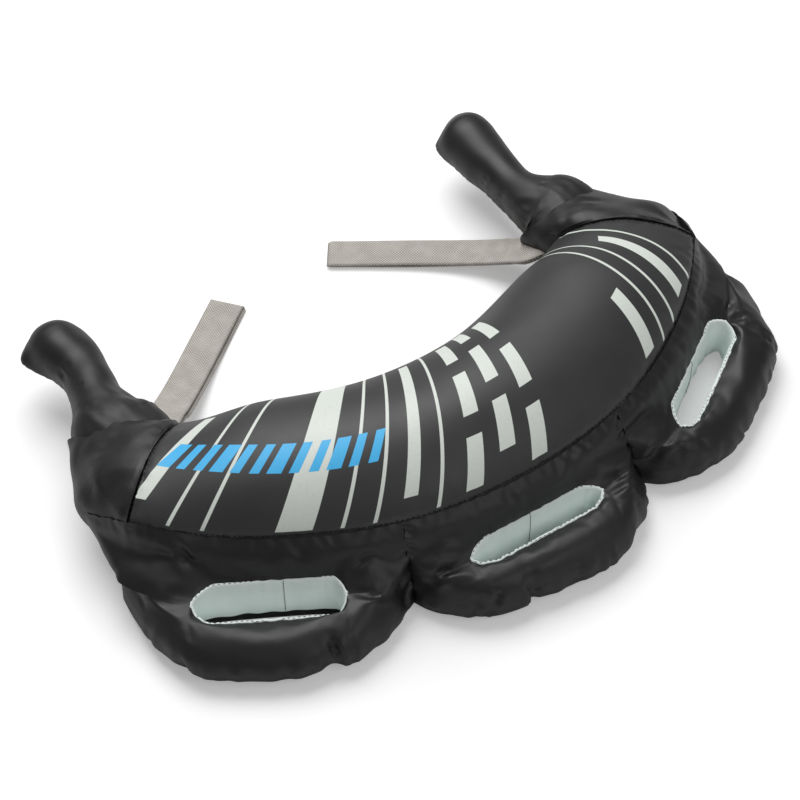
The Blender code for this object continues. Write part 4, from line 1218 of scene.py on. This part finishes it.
for grip_name, skirt in skirts.items():
    piece = skirt["piece"]
    wall_ids, lobe_ids, under_ids, back_ids = skirt["blocks"]
    pins = np.zeros(len(piece.data.vertices), bool)
    for fixed in (back_ids, skirt["sleeve"], skirt["top_rim"], skirt["low_rim"], wall_ids[:, 0],
                  under_ids[:, -1], wall_ids[[0, -1]], lobe_ids[[0, -1]], under_ids[[0, -1]]):
        pins[fixed] = True
    swell(piece, pins, SKIRT_SPARE[grip_name], SKIRT_REACH)
    placed, seed = coordinates(piece), SKIRT_SEEDS[grip_name]
    gather(piece, placed[wall_ids[:, 0]], seed, every=9, width=2.8, reach=16, depth=0.5, lean=0.35)
    lobe = placed[lobe_ids]
    furthest = np.linalg.norm(lobe[:, :, :2] - [0, ARC_RADIUS], axis=2).argmax(1)
    edge = lobe[np.arange(len(furthest)), furthest]
    edge = edge[np.abs(np.arctan2(edge[:, 0], ARC_RADIUS - edge[:, 1])) < EDGE_GATHER_END]
    gather(piece, edge, seed + 3, every=17, width=3.4, reach=12, depth=1.2, lean=0.3)
    gather(piece, closed(placed[skirt["top_rim"]]), seed + 1, every=11, width=2.2, reach=8, depth=0.5)
    for column in JUNCTION_COLUMNS[grip_name]:
        ends = np.concatenate([wall_ids[column], lobe_ids[column][JUNCTION_ROWS]])
        gather(piece, placed[ends], seed + 2, every=13, width=3.2, reach=18, depth=1.3, lean=0.4)
    press_folds(piece, SKIRT_FOLDS[grip_name])
    if grip_name in SIDES:
        lay_over(piece, caps[grip_name], skirt["blocks"], SKIRT_ENDS[grip_name], OVERLAP_ROOM[grip_name])

# %% [markdown]
# Each skirt keeps its seams sharp and is baked in place, and the CAD pieces it stands for are hidden.
# No part of it folds with its grip.

def grip_outward(name):
    """The level direction outwards through the middle of a grip."""
    return np.array([math.sin(GRIPS[name]), -math.cos(GRIPS[name]), 0.0])

def fold_with_grip(piece):
    """Bake a piece's place into its points; it does not bend with the grip."""
    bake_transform(piece)

for grip_name, skirt in skirts.items():
    skirt["piece"].data.set_sharp_from_angle(angle=SEAM_TURN)
    fold_with_grip(skirt["piece"])
    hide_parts(f"side_band_{grip_name}", f"grip_cover_{grip_name}",
                f"grip_wadding_{grip_name}")

# %% [markdown]
# ## Slot linings
# Each hand slot is lined with a sleeve of grey-green cloth, folded out over the rim. The sleeve is
# made from the rim of the skirt, so it fits the slot however the leatherette has swollen.

# %% Slot linings
LINING_ROWS = 14
LINING_DEPTHS = {"left": 0.80, "centre": 0.86, "right": 0.95}
LINING_SEAMS = {"left": 0.010, "centre": 0.0, "right": 0.0}
# The hem over the rim: how far outwards and upwards each of its rows lies from the rim, in millimetres
HEM = ((1.9, 0.3), (1.8, 1.0), (0.9, 1.5), (-0.4, 1.1), (-1.0, -1.0))
# The sleeve starts this share of the way down, lies this far inside the slot, and sags by this much
SLEEVE_START, SLEEVE_INSIDE, SLEEVE_SAG = 0.06, 0.0012, 0.0010
SAG_SIZE = 0.016
# The straight part of a slot reaches this far from its middle
SLOT_STRAIGHT = 0.050
SEAM_LIFT = 0.0003

def lining_material():
    """Pale grey-green cloth, a little uneven in colour."""
    made, tree, sockets, position = new_finish("celadon_lining")
    slow = node(tree, "ShaderNodeTexNoise", Vector=position, Scale=60.0, Detail=4.0)
    fine = node(tree, "ShaderNodeTexNoise", Vector=position, Scale=1800.0, Detail=3.0)
    colour = mix_colours(tree, slow.outputs["Fac"], (0.87, 0.96, 0.93), (0.93, 1.0, 0.98))
    put(tree, sockets["Base Color"], colour)
    put(tree, sockets["Roughness"], 0.62)
    set_relief(tree, sockets, fine.outputs["Fac"], 0.25, 0.0004)
    arrange(tree)
    return made

lining_cloth = lining_material()

def lining_piece(name):
    """The sleeve of one slot: out over the rim and down inside to a hem above the floor."""
    skirt = skirts[name]
    points = coordinates(skirt["piece"])
    top, low = points[skirt["top_rim"]], points[skirt["low_rim"]]
    middle = (top.max(0) + top.min(0)) / 2
    outward = grip_outward(name)
    side = np.array([-outward[1], outward[0], 0.0])
    flat = (top - middle) @ side
    away = top - middle - np.outer(np.clip(flat, -SLOT_STRAIGHT, SLOT_STRAIGHT), side)
    away[:, 2] = 0
    away /= np.maximum(np.linalg.norm(away, axis=1, keepdims=True), 1e-6)
    for _ in range(3):
        away = (np.roll(away, 1, 0) + away + np.roll(away, -1, 0)) / 3
    away = unit(away)
    lengths = lengths_along(top)
    rows = [top + away * out * MM + [0, 0, rise * MM] for out, rise in HEM]
    for share in np.linspace(SLEEVE_START, LINING_DEPTHS[name], LINING_ROWS):
        spots = np.stack([lengths, 0 * lengths, 0 * lengths + share * 0.02], 1)
        sag = SLEEVE_SAG * share * slow_noise(SKIRT_SEEDS[name] + 50, spots, SAG_SIZE)
        rows.append(top + (low - top) * share - away * (SLEEVE_INSIDE - sag)[:, None])
    grid = np.array(rows)
    faces = grid_faces(numbered(grid), close_columns=True)
    piece = new_piece(f"lining_{name}", grid, faces, lining_cloth)
    down = float(np.linalg.norm(np.diff(grid, axis=0), axis=2).sum(0).mean())
    seam_column = int(np.argmin(np.abs(flat - LINING_SEAMS[name]) + (away @ outward > 0)))
    return piece, (float(lengths[-1]), down), grid[3:-1, seam_column] - away[seam_column] * SEAM_LIFT

linings, lining_seams = {}, {}
for grip_name in GRIPS:
    linings[grip_name], lining_flat, lining_seams[grip_name] = lining_piece(grip_name)
    fold_with_grip(linings[grip_name])
    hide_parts(f"slot_lining_{grip_name}")
    print("lining of the", grip_name, "slot in mm:", [round(side / MM) for side in lining_flat])

# %% [markdown]
# ## Webbing straps
# Each strap is one length of grey webbing folded into a loop of two layers, with its ends sewn in under
# the horn's root. It comes out of the crease on a slant and falls to the floor, where it lies flat. The
# weave is a herringbone: slanted ribs that turn at every wale.

# %% Straps
STRAPS = {
    "left": (np.array([-0.15432, 0.20258, 0.006]), np.array([0.78261, 0.62251, 0.0])),
    "right": (np.array([0.15452, 0.21098, 0.006]), np.array([-0.81915, 0.57358, 0.0])),
}
# Where each strap ends inside the cap
STRAP_ENDS = {"left": (-0.1885, 0.1585, 0.046), "right": (0.189, 0.1535, 0.046)}
STRAP_WIDTH, WEBBING, STRAP_GAP = 0.029, 0.0014, 0.0022
# Half the distance between the two layers at the sewn end, and how it grows, waves and closes
SEWN_HALF = 0.00095
STRAP_OPENING, STRAP_WAVE, STRAP_CLOSING = 0.03, 0.018, 0.0025
STRAP_ROWS, STRAP_COLUMNS = 90, 13
LOWEST_LAYER = 0.0011
# The middle line from the crease to the far end: how far beyond the hinge, and how high
STRAP_HEIGHTS = {
    "left": ((0.000, 0.0400), (0.004, 0.0260), (0.016, 0.0160), (0.035, 0.0098), (0.055, 0.0062),
             (0.075, 0.0042), (0.100, 0.0032), (0.130, 0.0030)),
    "right": ((-0.0386, 0.0400), (-0.024, 0.0250), (-0.009, 0.0155), (0.010, 0.0098), (0.030, 0.0064),
              (0.055, 0.0042), (0.090, 0.0032), (0.130, 0.0030)),
}
# A strap that rises also leans towards the front: level metres for each metre up
STRAP_LEAN = np.array([-0.484, -0.790, 0.0])
STRAP_REST = 0.003
# How far the two layers lie beside each other
STRAP_DRIFT = {"left": 0.0012, "right": 0.0008}
DRIFT_LENGTH = 0.05

def herringbone_group():
    """Height of a herringbone weave in a strap's chart: slanted ribs that turn at every wale."""
    group, get = new_group("herringbone", "ShaderNodeTree",
                           {"Chart": "NodeSocketVector", "Wale": 0.0073, "Rib": 0.0025}, ("Height",))
    split = node(group, "ShaderNodeSeparateXYZ", (get["Chart"],)).outputs
    zigzag = math_node(group, "PINGPONG", split["Y"], get["Wale"])
    turns = math_node(group, "DIVIDE", math_node(group, "ADD", split["X"], zigzag), get["Rib"])
    wave = math_node(group, "SINE", math_node(group, "MULTIPLY", turns, 2 * math.pi))
    node(group, "NodeGroupOutput", Height=math_node(group, "MULTIPLY_ADD", wave, 0.5, 0.5))
    arrange(group)
    return group

def webbing_material():
    """Grey woven webbing, dusty in patches, with painted shade in the grooves of its weave and painted light
    on its ribs.
    """
    made, tree, sockets, position = new_finish("grey_webbing")
    chart = node(tree, "ShaderNodeUVMap", uv_map="weave").outputs["UV"]
    weave = node(tree, "ShaderNodeGroup", node_tree=herringbone_group(), Chart=chart).outputs["Height"]
    dust = node(tree, "ShaderNodeTexNoise", Vector=position, Scale=90.0, Detail=6.0)
    # Colour from the weave's height: painted shade in the grooves and painted light on the ribs, around the
    # webbing's own grey
    ribs = mix_colours(tree, weave, (0.27, 0.25, 0.225), (0.64, 0.60, 0.55))
    worn = in_range(tree, dust.outputs["Fac"], 0.0, 0.5, 0.4, 0.75)
    put(tree, sockets["Base Color"], mix_colours(tree, worn, ribs, (0.62, 0.59, 0.55)))
    put(tree, sockets["Roughness"], 0.8)
    set_relief(tree, sockets, weave, 0.6, 0.0005)
    arrange(tree)
    return made

webbing = webbing_material()

def strap_line(side_name):
    """The strap's middle line from under the cap to its far end, and the lengths along it."""
    hinge, along = STRAPS[side_name]
    stops = [np.array(STRAP_ENDS[side_name])]
    for reach, height in STRAP_HEIGHTS[side_name]:
        lean = STRAP_LEAN * (height - STRAP_REST)
        stops.append(hinge * [1, 1, 0] + along * reach + lean + [0, 0, height])
    keys = lengths_along(stops)
    at = np.linspace(0, keys[-1], STRAP_ROWS)
    return curve_through(keys, np.array(stops), at), at

def strap_piece(side_name):
    """One band of webbing: out from under the cap, round the far end and back, in two layers."""
    line, at = strap_line(side_name)
    across = np.tile(np.cross(STRAPS[side_name][1], [0, 0, 1.0]), (len(line), 1))
    up = unit(np.cross(across, unit(np.gradient(line, axis=0))))
    opened = np.clip(at / STRAP_OPENING, 0, 1) * (0.75 + 0.25 * np.sin(at / STRAP_WAVE))
    to_fold = np.clip((at[-1] - at) / STRAP_CLOSING, 0, 1)
    spread = (SEWN_HALF + STRAP_GAP / 2 * opened) * np.sqrt(np.clip(1 - (1 - to_fold) ** 2, 0, 1))
    drift = STRAP_DRIFT[side_name] * np.clip(at / DRIFT_LENGTH, 0, 1)
    apart = up * spread[:, None] - across * drift[:, None]
    upper, lower = line + apart, line - apart
    lower[:, 2] = np.maximum(lower[:, 2], LOWEST_LAYER)
    both = np.concatenate([upper, lower[::-1][1:]])
    sides = np.concatenate([across, across[::-1][1:]])
    widths = np.linspace(-STRAP_WIDTH / 2, STRAP_WIDTH / 2, STRAP_COLUMNS)
    grid = both[:, None] + widths[None, :, None] * sides[:, None]
    piece = new_piece(f"webbing_loop_{side_name}", grid, grid_faces(numbered(grid)), webbing)
    lengths, loops = lengths_along(both), corner_points(piece)
    add_chart(piece, "weave", np.stack([lengths[loops // STRAP_COLUMNS], widths[loops % STRAP_COLUMNS]], 1))
    solidify = piece.modifiers.new("thickness", "SOLIDIFY")
    solidify.thickness = WEBBING
    solidify.offset = 0
    return piece, lengths[-1]

for side_name in SIDES:
    loop, loop_length = strap_piece(side_name)
    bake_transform(loop)
    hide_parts(f"strap_{side_name}", f"strap_tail_{side_name}")
    print("webbing of the", side_name, "strap in mm:", round(loop_length / MM))

# %% [markdown]
# ## Stitching
# The seams are closed with black thread. A stitch is the same everywhere, so a Geometry Nodes tree sets
# one small capsule after another along a line, at an even spacing and turned along the line.

# %% The row of stitches
def stitch_tree():
    """Small capsules of thread along a line."""
    tree, get = new_group("stitch_row", "GeometryNodeTree",
                          {"Line": "NodeSocketGeometry", "Spacing": 0.0042, "Stitch Length": 0.0030,
                           "Thread": 0.0008, "Finish": "NodeSocketMaterial"},
                          ("Stitches",), "NodeSocketGeometry")
    curve = node(tree, "GeometryNodeMeshToCurve", Mesh=get["Line"]).outputs["Curve"]
    even = node(tree, "GeometryNodeResampleCurve", mode="LENGTH", Curve=curve, Length=get["Spacing"])
    capsule = node(tree, "GeometryNodeMeshUVSphere", Segments=6, Rings=4, Radius=0.5)
    tangent = node(tree, "GeometryNodeInputTangent").outputs["Tangent"]
    turned = node(tree, "FunctionNodeAlignRotationToVector", axis="X", Vector=tangent)
    size = node(tree, "ShaderNodeCombineXYZ", (get["Stitch Length"], get["Thread"], get["Thread"]))
    placed = node(tree, "GeometryNodeInstanceOnPoints", Points=even.outputs["Curve"],
                  Instance=capsule.outputs["Mesh"], Rotation=turned.outputs["Rotation"],
                  Scale=size.outputs["Vector"])
    real = node(tree, "GeometryNodeRealizeInstances", Geometry=placed.outputs["Instances"])
    finish = node(tree, "GeometryNodeSetMaterial", Geometry=real.outputs["Geometry"], Material=get["Finish"])
    node(tree, "NodeGroupOutput", Stitches=finish.outputs["Geometry"])
    arrange(tree)
    return tree

STITCHES = stitch_tree()

def stitch_piece(name, lines, finish, spacing=0.0042, length=0.0030, thread=0.0008):
    """Stitches along some lines of points, as one plain mesh."""
    points, edges = [], []
    for line in lines:
        edges += [(len(points) + step, len(points) + step + 1) for step in range(len(line) - 1)]
        points += [tuple(float(value) for value in spot) for spot in line]
    mesh = bpy.data.meshes.new(name)
    mesh.from_pydata(points, edges, [])
    source = bpy.data.objects.new(name + "_line", mesh)
    bpy.context.scene.collection.objects.link(source)
    modifier = source.modifiers.new("stitches", "NODES")
    modifier.node_group = STITCHES
    values = {"Spacing": spacing, "Stitch Length": length, "Thread": thread, "Finish": finish}
    for item in STITCHES.interface.items_tree:
        if item.name in values:
            modifier[item.identifier] = values[item.name]
    made = bpy.data.meshes.new_from_object(source.evaluated_get(bpy.context.evaluated_depsgraph_get()))
    bpy.data.objects.remove(source)
    made.shade_smooth()
    piece = bpy.data.objects.new(name, made)
    bpy.context.scene.collection.objects.link(piece)
    print(name, "has", len(made.polygons), "faces")
    return piece

def thread_material(name, colour):
    """Twisted thread, between its colour and a paler one."""
    made, tree, sockets, position = new_finish(name)
    twist = node(tree, "ShaderNodeTexNoise", Vector=position, Scale=2500.0, Detail=2.0)
    paler = tuple(min(1.0, part * 1.7) for part in colour)
    put(tree, sockets["Base Color"], mix_colours(tree, twist.outputs["Fac"], colour, paler))
    put(tree, sockets["Roughness"], 0.7)
    arrange(tree)
    return made

black_thread = thread_material("black_thread", (0.006, 0.006, 0.006))

# %% Stitches of the bag's own seams
def on_surface(piece, line, lift):
    """Points of a line laid on the surface of a piece, a little proud of it."""
    tree = shell_tree(piece)
    laid = []
    for spot in line:
        nearest, outward, _, _ = tree.find_nearest(tuple(spot))
        laid.append(np.array(nearest) + np.array(outward) * lift)
    return np.array(laid)

SEAM_STITCH_LIFT, SEAM_STITCH_RISE = 0.0003, 0.0012
SLOT_STITCH_LIFT, SLOT_STITCH_OUT, SLOT_STITCH_RISE = 0.0002, 0.0012, 0.001

bag_lines = [on_surface(belly, outer_seam + [0, 0, SEAM_STITCH_RISE], SEAM_STITCH_LIFT)]
for column in (1, -2):
    bag_lines.append(on_surface(belly, belly_points[column, 2:belly_top_rows - 4], SEAM_STITCH_LIFT))
bag_stitches = stitch_piece("seam_stitches", bag_lines, black_thread)
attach(bag_stitches, "bag")

# %% Stitches round the slots
for grip_name, skirt in skirts.items():
    rim = coordinates(skirt["piece"])[skirt["top_rim"]]
    around = closed(rim)
    outer = around + unit(around - rim.mean(0)) * SLOT_STITCH_OUT
    line = on_surface(linings[grip_name], outer + [0, 0, SLOT_STITCH_RISE], SLOT_STITCH_LIFT)
    made = stitch_piece(f"slot_stitches_{grip_name}", [line], black_thread, spacing=0.0040, length=0.0022,
                        thread=0.0005)
    down = stitch_piece(f"lining_seam_{grip_name}", [lining_seams[grip_name]], black_thread, spacing=0.0022,
                        length=0.0024, thread=0.0005)
    for row in (made, down):
        fold_with_grip(row)
